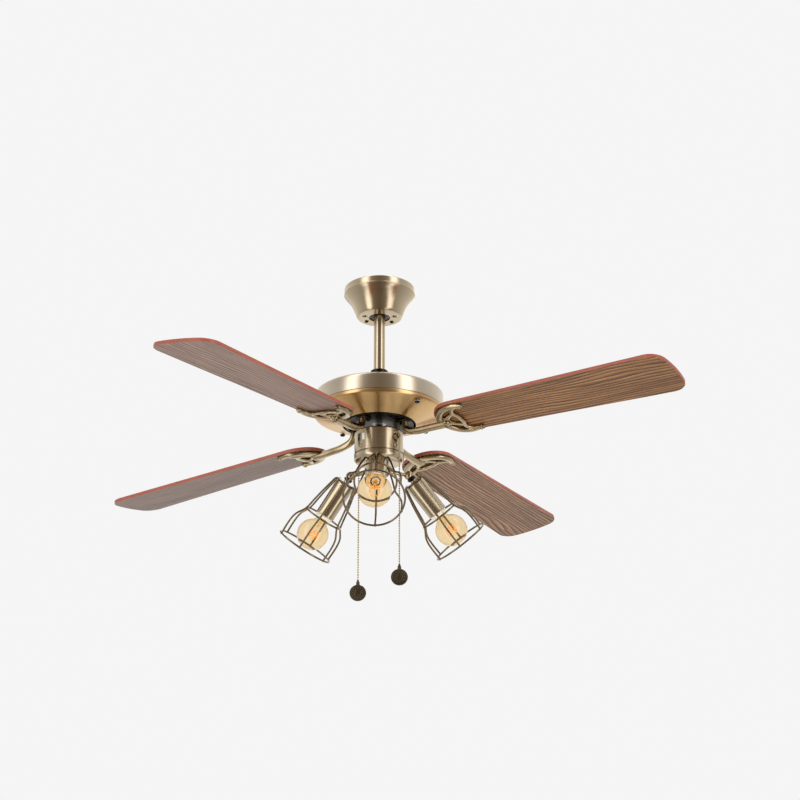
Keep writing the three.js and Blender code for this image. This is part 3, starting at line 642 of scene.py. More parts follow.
# Canopy, ball and downrod
def canopy():
    top, bottom, rim = extent("canopy")
    flare = [
        (39.2, 3.4), (41.2, 8.6), (43.6, 14.6), (46.2, 20.4), (49.3, 25.8),
        (53.0, 31.0), (56.8, 35.6), (58.9, 38.6), (59.3, 39.4),
    ]
    outer = [(18, 0), (35, 0), (37.4, 0.5), (38.6, 2.2), *curved_profile(flare, 3)]
    outer += [(rim - 0.1, 40.1), (rim, 41), (rim - 0.5, 41.9)]
    mouth = [(rim - 0.5, top - 1.2), (rim - 0.9, top), (rim - 1.8, top)]
    inner = [(rim - 1.8, 41), (56, 35), (47, 23), (42, 12), (36.8, 3), (35, 1.3), (18, 1.3)]
    profile = raised(bottom, outer) + mouth + raised(bottom, inner)
    made = lathe("canopy_shell", profile, "brushed_brass", "ceiling_set", "canopy", ease=0.2, segments=192)
    cutters = [slab((3.4, 8, 8), (25, 0, bottom), turn_z(angle)) for angle in (195, 345)]
    nodes = ("canopy_screw_1", "canopy_screw_2")
    cutters += [slab((4.4, 4.4, 8), (centre(node).x, centre(node).y, bottom)) for node in nodes]
    cut_out(made, cutters)
    for i, node in enumerate(nodes):
        seat = (centre(node).x, centre(node).y, bottom - 0.1)
        screw(f"canopy_screw_head_{i + 1}", "small", seat, (0, 0, -1), "ceiling_set", node, twist=35 * i)


def downrod():
    top, bottom, radius = extent("downrod")
    profile = [(radius - 2.2, bottom), (radius, bottom), (radius, top), (radius - 2.2, top)]
    lathe("downrod_tube", profile, "brushed_brass", "fan_body", "downrod", segments=96)


def hanger_ball():
    bottom, top = low("hanger_ball", 2), high("hanger_ball", 2)
    radius = 20.0
    middle = joints["ball_sway_x"]["pos_m"][2] / MM
    heights = [bottom + (top - bottom) * i / 16 for i in range(17)]
    round_side = [(math.sqrt(radius**2 - (height - middle) ** 2), height) for height in heights]
    profile = [(9.8, bottom), *round_side, (9.8, top)]
    lathe("hanger_ball_fine", profile, "black_metal", "fan_body", "hanger_ball", segments=96, ease=0.3)


def yoke_collar():
    top, bottom = high("yoke_collar", 2), low("yoke_collar", 2)
    upper = [(9.8, 0), (13.6, 0), (14.8, -1), (14.8, -8), (14.2, -8.6), (14.2, -11), (14.8, -11.6)]
    lower = [(14.8, 9.6), (15.8, 7.2), (19.2, 5.2), (20, 4), (20, 0), (6.3, 0), (6.3, 13.5), (9.8, 15)]
    profile = raised(top, upper) + raised(bottom, lower)
    made = lathe("yoke_collar_fine", profile, "black_metal", "fan_body", "yoke_collar", segments=96, ease=0.4)
    pin = centre("clevis_pin")
    cut_out(made, [slab((60, 5.6, 5.6), (0, 0, pin.z))])
    head, tail = low("clevis_pin", 0), high("clevis_pin", 0)
    profile = raised(head, [(0, 0), (2.9, 0), (3.8, 0.9), (3.8, 2.6), (2.3, 2.9)])
    profile += raised(tail, [(2.3, -0.6), (1.7, 0), (0, 0)])
    work = bmesh.new()
    add_lathe(work, profile, 32, 0.2, shift(0, 0, pin.z) @ turn_about("Y", 90))
    build("clevis_pin_fine", work, "steel", "fan_body", "clevis_pin")


# The drum and the bowl; a screw's washer seats at WASHER_TOP, and its head under it.
HOUSING_SEGMENTS = 224
WASHER_TOP = -234.3


def housing_part(name, profile, look, node, ease):
    settings = {"segments": HOUSING_SEGMENTS, "ease": ease, "slot": "brushed_brass"}
    return lathe(name, profile, look, "fan_body", node, **settings)


def motor_housing():
    top, joint, radius = extent("upper_housing")
    flat = raised(top, [(6.3, -1.4), (98, -1.4), (98, 0), (6.3, 0)])
    # The flat top in its own darker brass: painted shade, alongside a duller finish.
    housing_part("drum_top", flat, "satin_brass", "upper_housing", 0.35)
    outer = raised(top, [(98, 0), (103.4, -0.6), (106.2, -2.1), (107.5, -4.4), (radius, -7)])
    outer += [(radius, joint), (radius - 1.4, joint)]
    inner = raised(top, [(radius - 1.4, -6), (102, -1.6), (98, -1.4)])
    housing_part("upper_drum", outer + inner, "drum_brass", "upper_housing", 1.0)
    top, bottom, lip = extent("lower_housing")
    outer = [
        (radius - 1.4, 0), (lip - 0.9, 0), (lip, -0.7), (lip, -5.6), (lip - 0.9, -6.9),
        (104.4, -8.1), (96, -10.6), (84, -14.4), (72, -18.6),
    ]
    mouth = [(64, 1.9), (61.6, 0.5), (61, 0.3), (61, 1.5)]
    inner = [(72, -17.1), (96, -9.1), (radius - 1.6, -5.6)]
    profile = raised(top, outer) + raised(bottom, mouth) + raised(top, inner)
    made = housing_part("lower_bowl", profile, "bowl_brass", "lower_housing", 0.5)
    places = [centre(f"housing_screw_{i + 1}") for i in range(4)]
    cut_out(made, [slab((5, 5, 14), (at.x, at.y, WASHER_TOP + 0.3)) for at in places])
    for i, at in enumerate(places):
        work = bmesh.new()
        washer = raised(WASHER_TOP, [(1.8, 0), (4.8, 0), (4.8, -0.8), (1.8, -0.8)])
        shank = [(0, -227), (1.6, -227), (1.6, -236), (0, -236)]
        add_lathe(work, washer, 32, 0.15, shift(at.x, at.y))
        add_lathe(work, shank, 16, 0.0, shift(at.x, at.y))
        build(f"housing_washer_{i + 1}", work, "steel", "fan_body", f"housing_screw_{i + 1}")
        seat = (at.x, at.y, WASHER_TOP - 0.9)
        screw(f"housing_screw_head_{i + 1}", "wide", seat, (0, 0, -1), "fan_body", twist=25 + 40 * i)


def rotor():
    top, joint, radius = extent("rotor_upper")
    outer = [(12.65, top), (77, top), (radius, top - 5), (radius, joint), (radius - 3, joint)]
    inner = raised(top, [(radius - 3, -6.5), (75, -2.8), (20, -2.8), (20, -10), (12.65, -10)])
    lathe("rotor_upper_fine", outer + inner, "black_metal", "rotor", "rotor_upper", ease=0.8)
    top, bottom = high("rotor_lower", 2), low("rotor_lower", 2)
    profile = [
        (12.65, -236.5), (20, -236.5), (20, -243), (56, -243), (74, -236.8), (radius - 3, -231.5),
        (radius - 3, top), (radius, top), (radius, -232.5), (76, -238), (58, -244.2), (57, bottom), (12.65, bottom),
    ]
    lathe("rotor_lower_fine", profile, "black_metal", "rotor", "rotor_lower", ease=0.8)


# Blades and irons
DROOPS = (0.4, 2.6, 3.9, 3.0)
AZIMUTHS = (-32.84, 57.16, 147.16, 237.16)
PITCH = 8.4
PLANE = -260.2
TIP, ROOT, TIP_ARC, CORNER = 533.5, 115.0, 223.0, 25.7
ROOT_REACH = 42
WIDE_FROM = 190
SPREAD = 10.3 / (TIP - WIDE_FROM)
THICK = 5.5
EDGE = 0.7
CORNER_STEPS, ROOT_STEPS = 14, 24


def tilted(index, unit=1.0):
    """A blade's tilt in the plane of the blades, before it is turned to its place."""
    return shift(0, 0, PLANE * unit) @ turn_about("Y", DROOPS[index]) @ turn_about("X", -PITCH)


def blade_matrix(index):
    """Where a blade's own frame (out, across, up) lies, in metres."""
    return turn_z(AZIMUTHS[index]) @ tilted(index, MM)


def half_width(distance):
    return 47.4 + SPREAD * (distance - WIDE_FROM)


def blade_outline():
    """One blade outline, anticlockwise, with its round root and shallow tip arc."""
    side = []
    shoulder = ROOT + ROOT_REACH
    for i in range(ROOT_STEPS + 1):
        angle = math.pi / 2 * i / ROOT_STEPS
        across = half_width(shoulder) * math.sin(angle) ** 0.9
        side.append((ROOT + ROOT_REACH * (1 - math.cos(angle)), across))
    for i in range(1, 12):
        distance = shoulder + (TIP - 2 * CORNER - shoulder) * i / 12
        side.append((distance, half_width(distance)))
    arc_centre = TIP - TIP_ARC
    corner_centre = TIP - CORNER
    for _ in range(40):
        across = half_width(corner_centre) - CORNER * math.hypot(1, SPREAD)
        corner_centre = arc_centre + math.sqrt((TIP_ARC - CORNER) ** 2 - across**2)
    across = half_width(corner_centre) - CORNER * math.hypot(1, SPREAD)
    start = math.pi / 2 + math.atan(SPREAD)
    end = math.atan2(across, corner_centre - arc_centre)
    for i in range(CORNER_STEPS + 1):
        angle = start + (end - start) * i / CORNER_STEPS
        side.append((corner_centre + CORNER * math.cos(angle), across + CORNER * math.sin(angle)))
    for i in range(1, 9):
        angle = end * (1 - i / 8)
        side.append((arc_centre + TIP_ARC * math.cos(angle), TIP_ARC * math.sin(angle)))
    other = [(x, -y) for x, y in reversed(side[1:-1])]
    return side[::-1] + other[::-1]


def blade(index):
    """A blade with walnut below, reddish wood above and a painted edge band with eased corners."""
    half = THICK / 2
    eases = ((EDGE, 0), (EDGE * 0.3, EDGE * 0.3), (0, EDGE))
    levels = [(inset, lift - half) for inset, lift in eases]
    levels += [(inset, half - lift) for inset, lift in eases[::-1]]
    work = bmesh.new()
    middle = Vector((320, 0))
    rings = []
    for inset, height in levels:
        ring = []
        for at in map(Vector, blade_outline()):
            at -= (at - middle).normalized() * inset
            ring.append(work.verts.new((at.x, at.y, height)))
        rings.append(ring)
    bridge(work, rings, False)
    for face in work.faces:
        face.material_index = 1
    work.faces.new(rings[0][::-1]).material_index = 0
    work.faces.new(rings[-1]).material_index = 2
    made = finish_mesh(f"blade_board_{index + 1}", work, blade_looks[index], blade_matrix(index), 40)
    made.data.materials.append(looks["edge_band"])
    made.data.materials.append(looks["cherry_wood"])
    place(made, "rotor", "walnut_wood", f"blade_{index + 1}")
    for polygon in made.data.polygons:
        polygon.use_smooth = polygon.material_index == 1


WALNUTS = (
    ((0.02, 0.008, 0.003), (0.155, 0.063, 0.017), (0.33, 0.158, 0.05)),
    ((0.033, 0.015, 0.008), (0.172, 0.088, 0.045), (0.33, 0.19, 0.108)),
    ((0.06, 0.036, 0.028), (0.17, 0.11, 0.085), (0.26, 0.175, 0.14)),
    ((0.05, 0.028, 0.02), (0.19, 0.112, 0.08), (0.33, 0.205, 0.155)),
)
blade_looks = [wood(f"walnut_wood_{i + 1}", *tones, 0.7 * i + 0.2) for i, tones in enumerate(WALNUTS)]

HALF_FRAME = [
    (118.5, 0), (119.1, 6), (121, 13), (124, 20), (127.6, 26.5), (132, 32.5), (137.2, 37.2), (143, 40.5),
    (149.5, 42.8), (156, 44), (163, 44.2), (169, 43.2), (174.5, 42), (178, 40.2), (180.3, 36.5), (177, 33.2),
    (172.5, 33.4), (168, 33.4), (163.5, 32.2), (160.2, 29), (157, 25), (155, 20), (156, 14), (157.6, 8),
]
SIDE_HOLE = [
    (128.5, 13), (130, 18), (133, 23), (137, 28), (141, 32), (146, 35), (151.5, 36), (154.5, 33.8),
    (154, 30), (151.8, 26), (148.5, 20.5), (144, 16), (139, 13.5), (133.5, 12),
]
MIDDLE_HOLE = [
    (139.5, -5), (138.6, 0), (139.5, 5), (143.5, 10.5), (149, 14.5), (152.2, 11),
    (153.3, 5), (153.6, 0), (153.3, -5), (152.2, -11), (149, -14.5), (143.5, -10.5),
]
HALF_RAIL = [
    (178, 37.4), (168, 38.6), (156, 39.8), (145, 36.8), (135, 29.5), (127, 18.5), (123, 8), (122.4, 0),
]
HALF_WAVE = [(159, 36), (157, 31), (153.6, 24), (154.4, 17), (157, 9), (156.4, 0)]
BOSS_AT = 129.5
PLATE_THICK = 4
PLATE_EASE = 0.9
ARM_LOW = -271.4


def mirrored(points):
    return [(x, -y) for x, y in reversed(points)]


def frame_plate(name, bottom, matrix):
    """The iron's open crescent, as a filled curve with rounded edges."""
    data = bpy.data.curves.new(name, "CURVE")
    data.dimensions = "2D"
    data.fill_mode = "BOTH"
    data.extrude = (PLATE_THICK / 2 - PLATE_EASE) * MM
    data.bevel_depth = PLATE_EASE * MM
    data.bevel_resolution = 3
    data.offset = -PLATE_EASE * MM
    other_hole = [(x, -y) for x, y in SIDE_HOLE]
    loops = [HALF_FRAME + mirrored(HALF_FRAME[1:]), SIDE_HOLE[::-1], other_hole, MIDDLE_HOLE[::-1]]
    for loop in loops:
        smooth = curve_through([(x, y, 0) for x, y in loop] + [(*loop[0], 0)], 4)[:-1]
        spline = data.splines.new("POLY")
        spline.points.add(len(smooth) - 1)
        for point, at in zip(spline.points, smooth):
            point.co = (at.x * MM, at.y * MM, 0, 1)
        spline.use_cyclic_u = True
    made = bpy.data.objects.new(name, data)
    bpy.context.collection.objects.link(made)
    bpy.context.view_layer.update()
    mesh = bpy.data.meshes.new_from_object(made.evaluated_get(bpy.context.evaluated_depsgraph_get()))
    bpy.data.objects.remove(made)
    work = bmesh.new()
    work.from_mesh(mesh)
    bpy.data.meshes.remove(mesh)
    bmesh.ops.scale(work, vec=(1 / MM, 1 / MM, 1 / MM), verts=work.verts)
    bmesh.ops.translate(work, vec=(0, 0, bottom + PLATE_THICK / 2), verts=work.verts)
    bmesh.ops.transform(work, matrix=matrix, verts=work.verts)
    return work


def iron_arm(work, landing, entry):
    """The swelling bent arm, from the foot under the rotor to the crescent."""
    rise = entry.z - ARM_LOW
    path = [
        (49.5, 0, -249.6), (50.4, 0, -257), (53.6, 0, -264.3), (61.5, 0, -269.2),
        (76, 0, ARM_LOW + 0.3 * rise), (94, 0, ARM_LOW + 0.65 * rise),
        (entry.x, 0, entry.z), (landing.x, 0, landing.z),
    ]
    path = curve_through(path, 6)
    runs = [i / (len(path) - 1) for i in range(len(path))]
    radii = [5.4 + 1.3 * min(1, run * 3) + 0.4 * max(0, run - 0.8) / 0.2 for run in runs]
    add_tube(work, path, radii, 28, flatten=0.9, up=Vector((0.1, 0, 1)))


def blade_iron(index):
    """A cast iron: a foot under the rotor, a swelling bent arm and the open crescent, in one casting."""
    own = tilted(index)
    upward = own.to_3x3() @ Vector((0, 0, 1))
    under = -THICK / 2 - 0.35
    work = frame_plate(f"crescent_{index + 1}", under - PLATE_THICK, own)

    def bar(points, radii, sides, flatten, up=None):
        path = curve_through([own @ Vector(point) for point in points], 5)
        add_tube(work, path, radii, sides, flatten=flatten, up=up)

    iron_arm(work, own @ Vector((129, 0, under - 6.3)), own @ Vector((115, 0, under - 6.7)))
    rail = [(x, y, under - 3.6) for x, y in HALF_RAIL + mirrored(HALF_RAIL[:-1])]
    last = 5 * (len(rail) - 1)
    bar(rail, [6.0 - 1.8 * abs(math.cos(math.pi * i / last)) ** 6 for i in range(last + 1)], 18, 0.5, upward)
    bar([(x, y, under - 3.6) for x, y in HALF_WAVE + mirrored(HALF_WAVE[:-1])], 3.5, 16, 0.66, upward)
    for side in (-1, 1):
        strut = ((126, 0, -3.2), (134, side * 7, -3.0), (141, side * 12, -2.6), (150, side * 17, -2.3))
        bar([(x, y, under + z) for x, y, z in strut], [4.8 - 0.1 * i for i in range(16)], 14, 0.55)
    boss = raised(under, [(0, -8.2), (6.0, -8.2), (7.2, -7.0), (7.8, -0.4), (0, -0.4)])
    add_lathe(work, boss, 40, 0.7, own @ shift(BOSS_AT, 0))
    turn = turn_z(AZIMUTHS[index])
    build(f"iron_{index + 1}", work, "cast_brass", "rotor", f"blade_iron_{index + 1}", matrix=turn, sharp=50)
    foot = bmesh.new()
    add_block(foot, (20, 17, 3), (46, 0, -249.45), 1.0)
    bolt = [(0, -253.4), (2.6, -253.4), (3.0, -253), (3.0, -250.6), (0, -250.6)]
    for side in (-1, 1):
        add_lathe(foot, bolt, 6, 0.2, shift(40, side * 4.6))
    build(f"iron_foot_{index + 1}", foot, "black_metal", "rotor", matrix=turn, sharp=40)
    placed = blade_matrix(index)
    outward = placed.to_3x3() @ Vector((0, 0, -1))
    for i, (x, y, deep) in enumerate(((BOSS_AT, 0, 8.2), (174.5, 37.8, 5.0), (174.5, -37.8, 5.0))):
        seat = placed @ (Vector((x, y, under - deep + 0.05)) * MM) / MM
        twist = 17 * i + 31 * index
        name = f"blade_screw_{index + 1}_{i + 1}"
        screw(name, "small" if i else "wide", seat, outward, "rotor", twist=twist, look="cast_brass")


# Switch housing and light fitter
KNURLS = 150


def switch_housing():
    top, bottom, radius = extent("switch_housing")
    wall = 1.3
    profile = raised(top, [(6.3, 0), (radius - 2.2, 0), (radius - 0.6, -0.6), (radius, -2.2)])
    profile += raised(bottom, [(radius, 2.4), (radius - 0.5, 2.1), (radius - 0.5, 1.6), (radius, 1.3)])
    profile += [(radius, bottom), (radius - wall, bottom), (radius - wall, top - wall), (6.3, top - wall)]
    node = "switch_housing"
    made = lathe("switch_cover", profile, "brushed_brass", "fan_body", node, segments=160, ease=0.3)
    outlet = centre("fan_chain_ferrule").z
    cutters = []
    for angle in PULLS.values():
        work = bmesh.new()
        add_lathe(work, [(0, 30), (4, 30), (4, 50), (0, 50)], 32, 0.0, sideways(angle, outlet))
        cutters.append(finish_mesh("cutter", work, looks["steel"]))
    turn = turn_z(SLIDER_AT)
    cut_out(made, [*cutters, slab((20, 5, 13), (40, 0, outlet), turn)])
    work = bmesh.new()
    for i in range(KNURLS):
        add_block(work, (1.0, 1.0, 1.5), (radius - 0.1, 0, bottom + 1.85), 0.25, turn_z(360 / KNURLS * i), 1)
    build("knurled_ring", work, "black_metal", "fan_body", sharp=50)
    for i, angle in enumerate(COVER_SCREWS_AT):
        out = turn_z(angle) @ Vector((1, 0, 0))
        seat = out * (radius - 0.15) + Vector((0, 0, bottom + 9.8))
        kind = "wide" if i == 1 else "small"
        screw(f"cover_screw_{i + 1}", kind, seat, out, "fan_body", twist=30 * i, look="cast_brass")
    work = bmesh.new()
    middle = centre("reverse_switch").z
    add_block(work, (3, 9, 15), (34, 0, middle), 0.6, turn)
    add_block(work, (7.8, 3.6, 5), (37.5, 0, middle), 0.7, turn)
    for step in (-1.2, 0, 1.2):
        add_block(work, (0.9, 3.4, 0.5), (41.2, 0, middle + step), 0.2, turn, 1)
    build("reverse_slide", work, "black_plastic", "reverse_slider", "reverse_switch", sharp=40)
    work = bmesh.new()
    face = radius + 0.1
    for side in (-1, 1):
        add_block(work, (0.7, 1.1, 15.2), (face, side * 3.2, outlet), 0.25, turn, 1)
        add_block(work, (0.7, 7.4, 1.1), (face, 0, outlet + side * 7.1), 0.25, turn, 1)
    build("reverse_slot_rim", work, "cast_brass", "fan_body", sharp=40, slot="brushed_brass")
    work = bmesh.new()
    add_block(work, (0.8, 4.6, 11.0), (face, 0, outlet), 0.3, turn_z(PLATE_AT))
    build("slot_plate", work, "white_plastic", "fan_body", sharp=40, slot="cream_plastic")


def sideways(angle, height):
    """Turns a lathe's axis outward at an angle round the fan, at a height."""
    return turn_z(angle) @ shift(0, 0, height) @ turn_about("Y", 90)


def ferrule(label, angle):
    node = label + "_chain_ferrule"
    profile = [
        (2.1, 33), (3.5, 33), (3.5, 40.8), (5.6, 40.8), (5.8, 41.4), (5.6, 42.6), (4.7, 43.2), (4.5, 44.2),
        (5.0, 45.2), (5.4, 46.0), (5.0, 46.6), (3.4, 46.5), (2.4, 45.4), (2.1, 43.6),
    ]
    work = bmesh.new()
    add_lathe(work, profile, 48, 0.25, sideways(angle, centre(node).z))
    build(label + "_bell_mouth", work, "cast_brass", "fan_body", node, slot="chain_brass")


def light_fitter():
    top, bottom, radius = extent("light_fitter")
    sweep = [(33.5, 0.15), (36.4, 0.7), (38.9, 2.1), (40.4, 4.1), (radius, 6.6), (radius, top - bottom)]
    outer = raised(bottom, [(6.3, 0), (32, 0), *curved_profile(sweep, 4)])
    inner = raised(bottom, [(39.3, 5.9), (37.5, 2.9), (33.6, 1.4), (6.3, 1.4)])
    profile = [*outer, (39.5, top), *inner]
    lathe("fitter_pan", profile, "brushed_brass", "fan_body", "light_fitter", segments=160, ease=0.25)


def lamp_hub():
    top, bottom = high("lamp_hub", 2), low("lamp_hub", 2)
    profile = raised(bottom, [(0, 0), (13.2, 0), (14.8, 0.8), (16, 2.6), (16.5, 5)])
    profile += raised(top, [(16.5, -5), (15.6, -3.4), (15.6, -2.4), (16.2, -1.8), (15.6, 0), (0, 0)])
    lathe("hub_body", profile, "brushed_brass", "fan_body", "lamp_hub", segments=96, ease=0.5)
    for label in LAMPS:
        work = bmesh.new()
        turn = swivel_frame(label)
        turn.translation = (0, 0, turn.translation.z / MM)
        collar = [(3.05, 16.2), (4.6, 16.4), (4.9, 17.2), (4.9, 20.6), (4.4, 21.5), (3.05, 21.7)]
        add_lathe(work, [(0, 12), (3, 12), (3, 50), (0, 50)], 32, 0.4, turn)
        add_lathe(work, collar, 6, 0.3, turn)
        build(f"lamp_rod_{label}", work, "cast_brass", "fan_body")
    bottom = low("finial", 2)
    profile = [(0, 0), (2.4, 0.3), (3.6, 1.8), (3.3, 3.6), (2.8, 5), (4.4, 6.8), (8.2, 9.6), (9.8, 12.2)]
    profile = raised(bottom, profile) + [(9.8, high("finial", 2)), (0, high("finial", 2))]
    lathe("finial_fine", profile, "cast_brass", "fan_body", "finial", segments=64, ease=0.6)


# Lamps, each in its own frame whose +Z runs from the knuckle outwards
LAMPS = ("front", "right", "left")
SLOPES = {"front": 45.0, "right": 46.0, "left": 50.0}
TWISTS = {"front": 0.0, "right": 9.0, "left": 0.0}
CUP_BACK = 15.2
CUP_RADIUS = 16.3
CUP_LENGTH = 62.0
BULB_CENTRE = 114.8
BULB_RADIUS = 26.7
RING_AT = 138.9
RING_RADIUS = 47.8
WIRE = 1.6
BALL_RADIUS = 7.7
BALL_FROM, BALL_SWEEP, BALL_STEPS = -62, 152, 24
NECK_ANGLE = math.radians(-57)
STRAND_RADIUS = 8.5
COIL_TURNS = 20


def swivel_frame(label):
    """A frame at a lamp's knuckle, in metres, whose +Z runs out along its rod."""
    swivel = joints[label + "_swivel_turn"]
    return shift(*swivel["pos_m"]) @ Vector(swivel["axis"]).to_track_quat("Z", "Y").to_matrix().to_4x4()


def lamp_matrix(label):
    swivel = joints[label + "_swivel_turn"]
    azimuth = math.degrees(math.atan2(swivel["axis"][1], swivel["axis"][0]))
    return shift(*swivel["pos_m"]) @ turn_z(azimuth) @ turn_about("Y", 90 + SLOPES[label])


def arc(radius, start, sweep, steps, middle=0.0):
    """Points of a ball's outline that ends on the axis."""
    angles = [start + sweep * i / steps for i in range(steps)]
    points = [(radius * math.cos(angle), middle + radius * math.sin(angle)) for angle in angles]
    return [*points, (0, middle + radius * math.sin(start + sweep))]


def knuckle(label, number):
    ball = arc(BALL_RADIUS, math.radians(BALL_FROM), math.radians(BALL_SWEEP), BALL_STEPS)
    profile = [(0, -4.9), (3.5, -4.9), (3.5, -6.8), *ball]
    matrix = swivel_frame(label)
    body, node = f"{label}_swivel", f"knuckle_{number}"
    lathe(f"knuckle_ball_{label}", profile, "cast_brass", body, node, segments=48, ease=0.1, matrix=matrix)


def lamp(label, number):
    matrix = lamp_matrix(label)
    body = f"{label}_lamp"
    shell = (
        (-3, 0), (-1, 0.6), (-0.2, 2), (-0.2, 5.6), (0, 6), (0, CUP_LENGTH - 2), (0.25, CUP_LENGTH - 1.4),
        (0.15, CUP_LENGTH), (-1.1, CUP_LENGTH), (-1.1, 1.8),
    )
    cup = raised(CUP_BACK, [(0, 0), *[(CUP_RADIUS + r, z) for r, z in shell], (0, 1.8)])
    neck = [(0, 9.8), (4.9, 9.8), (4.9, CUP_BACK - 1.4), (6.2, CUP_BACK - 0.4), (0, CUP_BACK + 0.4)]
    work = bmesh.new()
    add_lathe(work, cup, 96, 0.3)
    add_lathe(work, neck, 40, 0.3)
    build(f"cup_shell_{label}", work, "brushed_brass", body, f"lamp_cup_{number}", matrix=matrix)
    work = bmesh.new()
    socket = [(0, 8.15), (2.2, 7.85), (4.2, 6.95), (6.0, 5.5), (7.5, 5.7), (7.2, 8.3), (5.4, 10.2), (0, 10.3)]
    add_lathe(work, socket, 48, 0.35)
    build(f"knuckle_socket_{label}", work, "black_metal", body, matrix=matrix, sharp=40)
    rim = ((14.6, 4.2), (14.2, 5.2), (13.2, 5.6), (8.4, 5.6), (8, 5.2))
    holder = [(0, 4), (14.6, 4), *raised(CUP_LENGTH, rim), (8, 34), (0, 34)]
    name, node = f"lampholder_shell_{label}", f"lampholder_{number}"
    lathe(name, raised(CUP_BACK, holder), "cream_plastic", body, node, matrix=matrix, segments=80, ease=0.3)
    bulb(label, number, matrix, body)
    cage(label, number, matrix, body)


def around_axis(radius, step, steps, height):
    """The point of a circle about +Z that is step out of steps round."""
    angle = 2 * math.pi * step / steps
    return Vector((radius * math.cos(angle), radius * math.sin(angle), height))


def bulb(label, number, matrix, body):
    ball = arc(BULB_RADIUS, NECK_ANGLE, math.pi / 2 - NECK_ANGLE, 32, BULB_CENTRE - CUP_BACK)
    neck = curved_profile([(7.1, 66), (7.4, 69), (9.6, 72.4), (13.2, 76.4), ball[0]], 5)
    glass = raised(CUP_BACK, [(0, 40), (6.9, 40), (7.0, 66), *neck, *ball[1:]])
    name, node = f"bulb_glass_{label}", f"bulb_{number}"
    lathe(name, glass, "amber_glass", body, node, matrix=matrix, segments=96, ease=0.05)
    work = bmesh.new()
    add_lathe(work, [(0, 84.2), (3.6, 84.2), (2.6, 92), (1.6, 99), (2.0, 101), (0, 101.6)], 24, 0.4)
    for i in range(6):
        a = around_axis(1.4, i, 6, 99)
        b = around_axis(STRAND_RADIUS, i, 6, 106 if i % 2 else 122)
        add_tube(work, curve_through([a, (a + b) / 2 + Vector((0, 0, -1.5)), b], 4), 0.22, 6)
    seal = bmesh.new()
    add_lathe(seal, [(0, 80.4), (5.9, 80.4), (6.1, 82.2), (3.8, 83.6), (0, 83.8)], 40, 0.3)
    build(f"bulb_seal_{label}", seal, "white_plastic", body, matrix=matrix, slot="cream_plastic")
    build(f"bulb_stem_{label}", work, "amber_glass", body, matrix=matrix)
    work = bmesh.new()
    points = [around_axis(STRAND_RADIUS, i, 12, 122 if i % 2 else 107) for i in range(12)]
    for a, b in zip(points, points[1:]):
        spots = range(COIL_TURNS * 4 + 1)
        helix = [a.lerp(b, k / (COIL_TURNS * 4)) + around_axis(0.4, k, 4, 0) for k in spots]
        add_tube(work, helix, 0.28, 5)
    build(f"bulb_filament_{label}", work, "filament", body, matrix=matrix, slot="amber_glass")


def cage(label, number, matrix, body):
    work = bmesh.new()
    add_lathe(work, [(5.4, 12.5), (16.4, 12.5), (17, 13.1), (17, 14.2), (16.4, 14.8), (5.4, 14.8)], 64, 0.25)
    rib = [
        (14.6, 13.7), (17.6, 13.6), (20.2, 14.8), (21.8, 18), (22.8, 23), (25.4, 33.5), (28.5, 47),
        (31.4, 62), (34.0, 77), (35.8, 83.5), (39.0, 89), (42.6, 94), (45.6, 99.5), (47.5, 107), (48.3, 117),
        (48.2, 129), (RING_RADIUS, RING_AT - 0.4),
    ]
    for i in range(6):
        turn = turn_z(60 * i)
        add_tube(work, [turn @ Vector((r, 0, z)) for r, z in curved_profile(rib, 5)], WIRE, 12)
    for radius, height in ((33.4, 82.8), (RING_RADIUS, RING_AT)):
        add_tube(work, [around_axis(radius, i, 96, height) for i in range(96)], WIRE, 12, closed=True)
        for i in range(6):
            weld = bmesh.ops.create_uvsphere(work, u_segments=10, v_segments=8, radius=2.0)["verts"]
            bmesh.ops.translate(work, vec=around_axis(radius + 0.5, i, 6, height), verts=weld)
    bmesh.ops.transform(work, matrix=turn_z(TWISTS[label]), verts=work.verts)
    build(f"cage_wires_{label}", work, "cage_wire", body, f"cage_{number}", matrix=matrix, sharp=60)


canopy()
downrod()
hanger_ball()
yoke_collar()
motor_housing()
rotor()
for i in range(4):
    blade(i)
    blade_iron(i)
switch_housing()
for label, angle in PULLS.items():
    ferrule(label, angle)
light_fitter()
lamp_hub()
for i, label in enumerate(LAMPS):
    knuckle(label, i + 1)
    lamp(label, i + 1)

# The inner pieces keep their CAD shape and get the same finishes.
slots = {part["node"]: part["material_slot"] for part in frame["record"]["subparts"]}
for name, node in frame["nodes"].items():
    for material_slot in node.material_slots:
        if not node.hide_render:
            material_slot.material = looks[slots[name]]


# Studio: a pale floor far below, four area lights, and a soft tent that the camera doesn't see. The tent gets
# brighter towards the back, and has strips of (azimuth, half width, strength), the first two in degrees.
TENT_STRIPS = [(-49.0, 13.0, 2.1), (49.0, 13.0, 2.1), (164.0, 4.5, 0.5), (-160.0, 5.0, -0.45)]
TENT_FRONT = 0.2
TENT_BACK = 1.0
TENT_RISE = 0.25
PLAIN = (0.915, 0.915, 0.915, 1)
AREA_LIGHTS = [
    ("key", (-1.9, -2.2, -1.6), (0.5, 1.6), 20.0),
    ("fill", (2.1, -1.9, -1.5), (0.5, 1.6), 18.0),
    ("under", (0.0, -1.5, -2.2), (1.4, 1.0), 9.0),
    ("top", (0.3, 0.5, 2.2), (1.6, 1.6), 22.0),
]
LIT_POINT = Vector((0, 0, -0.28))


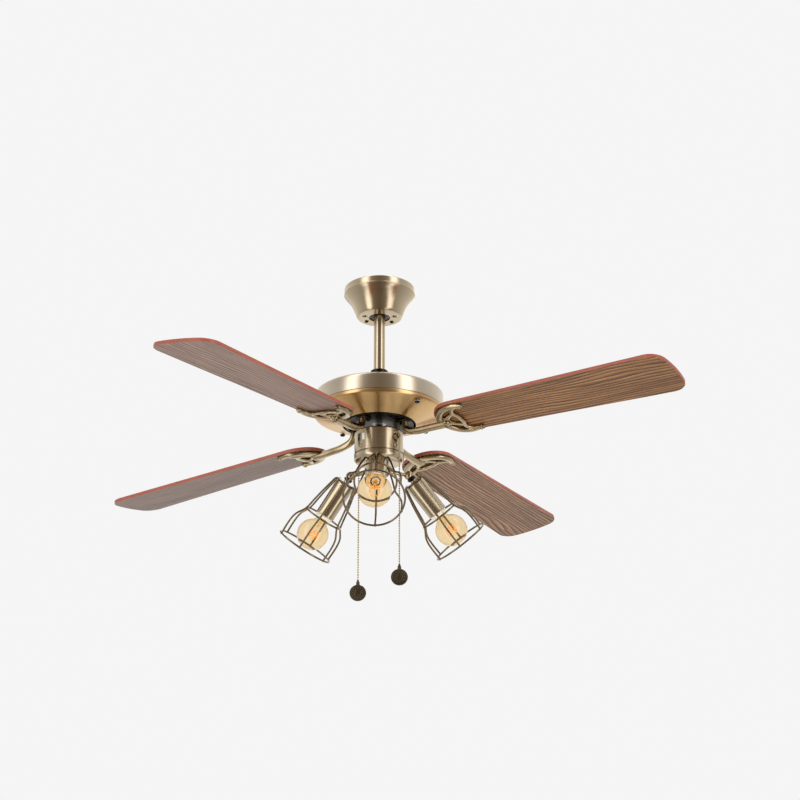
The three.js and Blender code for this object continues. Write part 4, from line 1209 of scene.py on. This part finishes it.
def floor():
    work = bmesh.new()
    bmesh.ops.create_grid(work, x_segments=8, y_segments=8, size=9.0)
    mesh = bpy.data.meshes.new("floor")
    work.to_mesh(mesh)
    work.free()
    made = bpy.data.objects.new("floor", mesh)
    made.location = (0, 0, -2.4)
    bpy.context.collection.objects.link(made)
    recipe = Recipe("floor_paint", Roughness=0.9)
    cloud = recipe.noise(recipe.spot(), 1.5)
    recipe.link(recipe.ramp(cloud, [(0.3, (0.83, 0.83, 0.83)), (0.7, (0.87, 0.87, 0.87))]), "Base Color")
    mesh.materials.append(recipe.material)
    made.visible_glossy = False


def tent():
    world = bpy.data.worlds.new("studio")
    world.use_nodes = True
    bpy.context.scene.world = world
    world.node_tree.nodes.clear()
    sky = Nodes(world.node_tree)
    direction = sky.node("ShaderNodeTexCoord").outputs["Generated"]
    x, y, z = sky.node("ShaderNodeSeparateXYZ", i0=direction).outputs
    azimuth = sky.math("ARCTAN2", x, sky.times(y, -1.0))
    around = sky.times(sky.math("ABSOLUTE", azimuth), 1 / math.pi)
    level = sky.plus(sky.times(sky.math("POWER", around, 1.2), TENT_BACK), TENT_FRONT)
    for angle, width, power in TENT_STRIPS:
        away = sky.math("DIVIDE", sky.math("SUBTRACT", azimuth, math.radians(angle)), math.radians(width))
        square = sky.times(away, away)
        strip = sky.math("EXPONENT", sky.times(sky.times(square, square), -1.0))
        level = sky.plus(level, sky.times(strip, power))
    level = sky.times(level, sky.plus(sky.times(z, TENT_RISE), 1.0))
    tint = sky.ramp(level, [(0.0, (1.0, 0.7, 0.42)), (0.6, (1.0, 0.985, 0.965))])
    soft = sky.node("ShaderNodeBackground", Color=tint, Strength=level)
    plain = sky.node("ShaderNodeBackground", Color=PLAIN)
    path = sky.node("ShaderNodeLightPath")
    straight = sky.math("MAXIMUM", path.outputs["Is Camera Ray"], path.outputs["Is Transmission Ray"])
    mix = sky.node("ShaderNodeMixShader", i0=straight, i1=soft.outputs[0], i2=plain.outputs[0])
    sky.node("ShaderNodeOutputWorld", i0=mix.outputs[0])


def lights():
    for name, place_at, size, power in AREA_LIGHTS:
        data = bpy.data.lights.new(name, "AREA")
        data.shape = "RECTANGLE"
        data.size, data.size_y = size
        data.energy = power
        made = bpy.data.objects.new(name, data)
        made.location = place_at
        made.rotation_euler = (LIT_POINT - Vector(place_at)).to_track_quat("-Z", "Y").to_euler()
        made.visible_glossy = False
        bpy.context.collection.objects.link(made)


floor()
tent()
lights()
bpy.context.scene.view_settings.view_transform = "Standard"
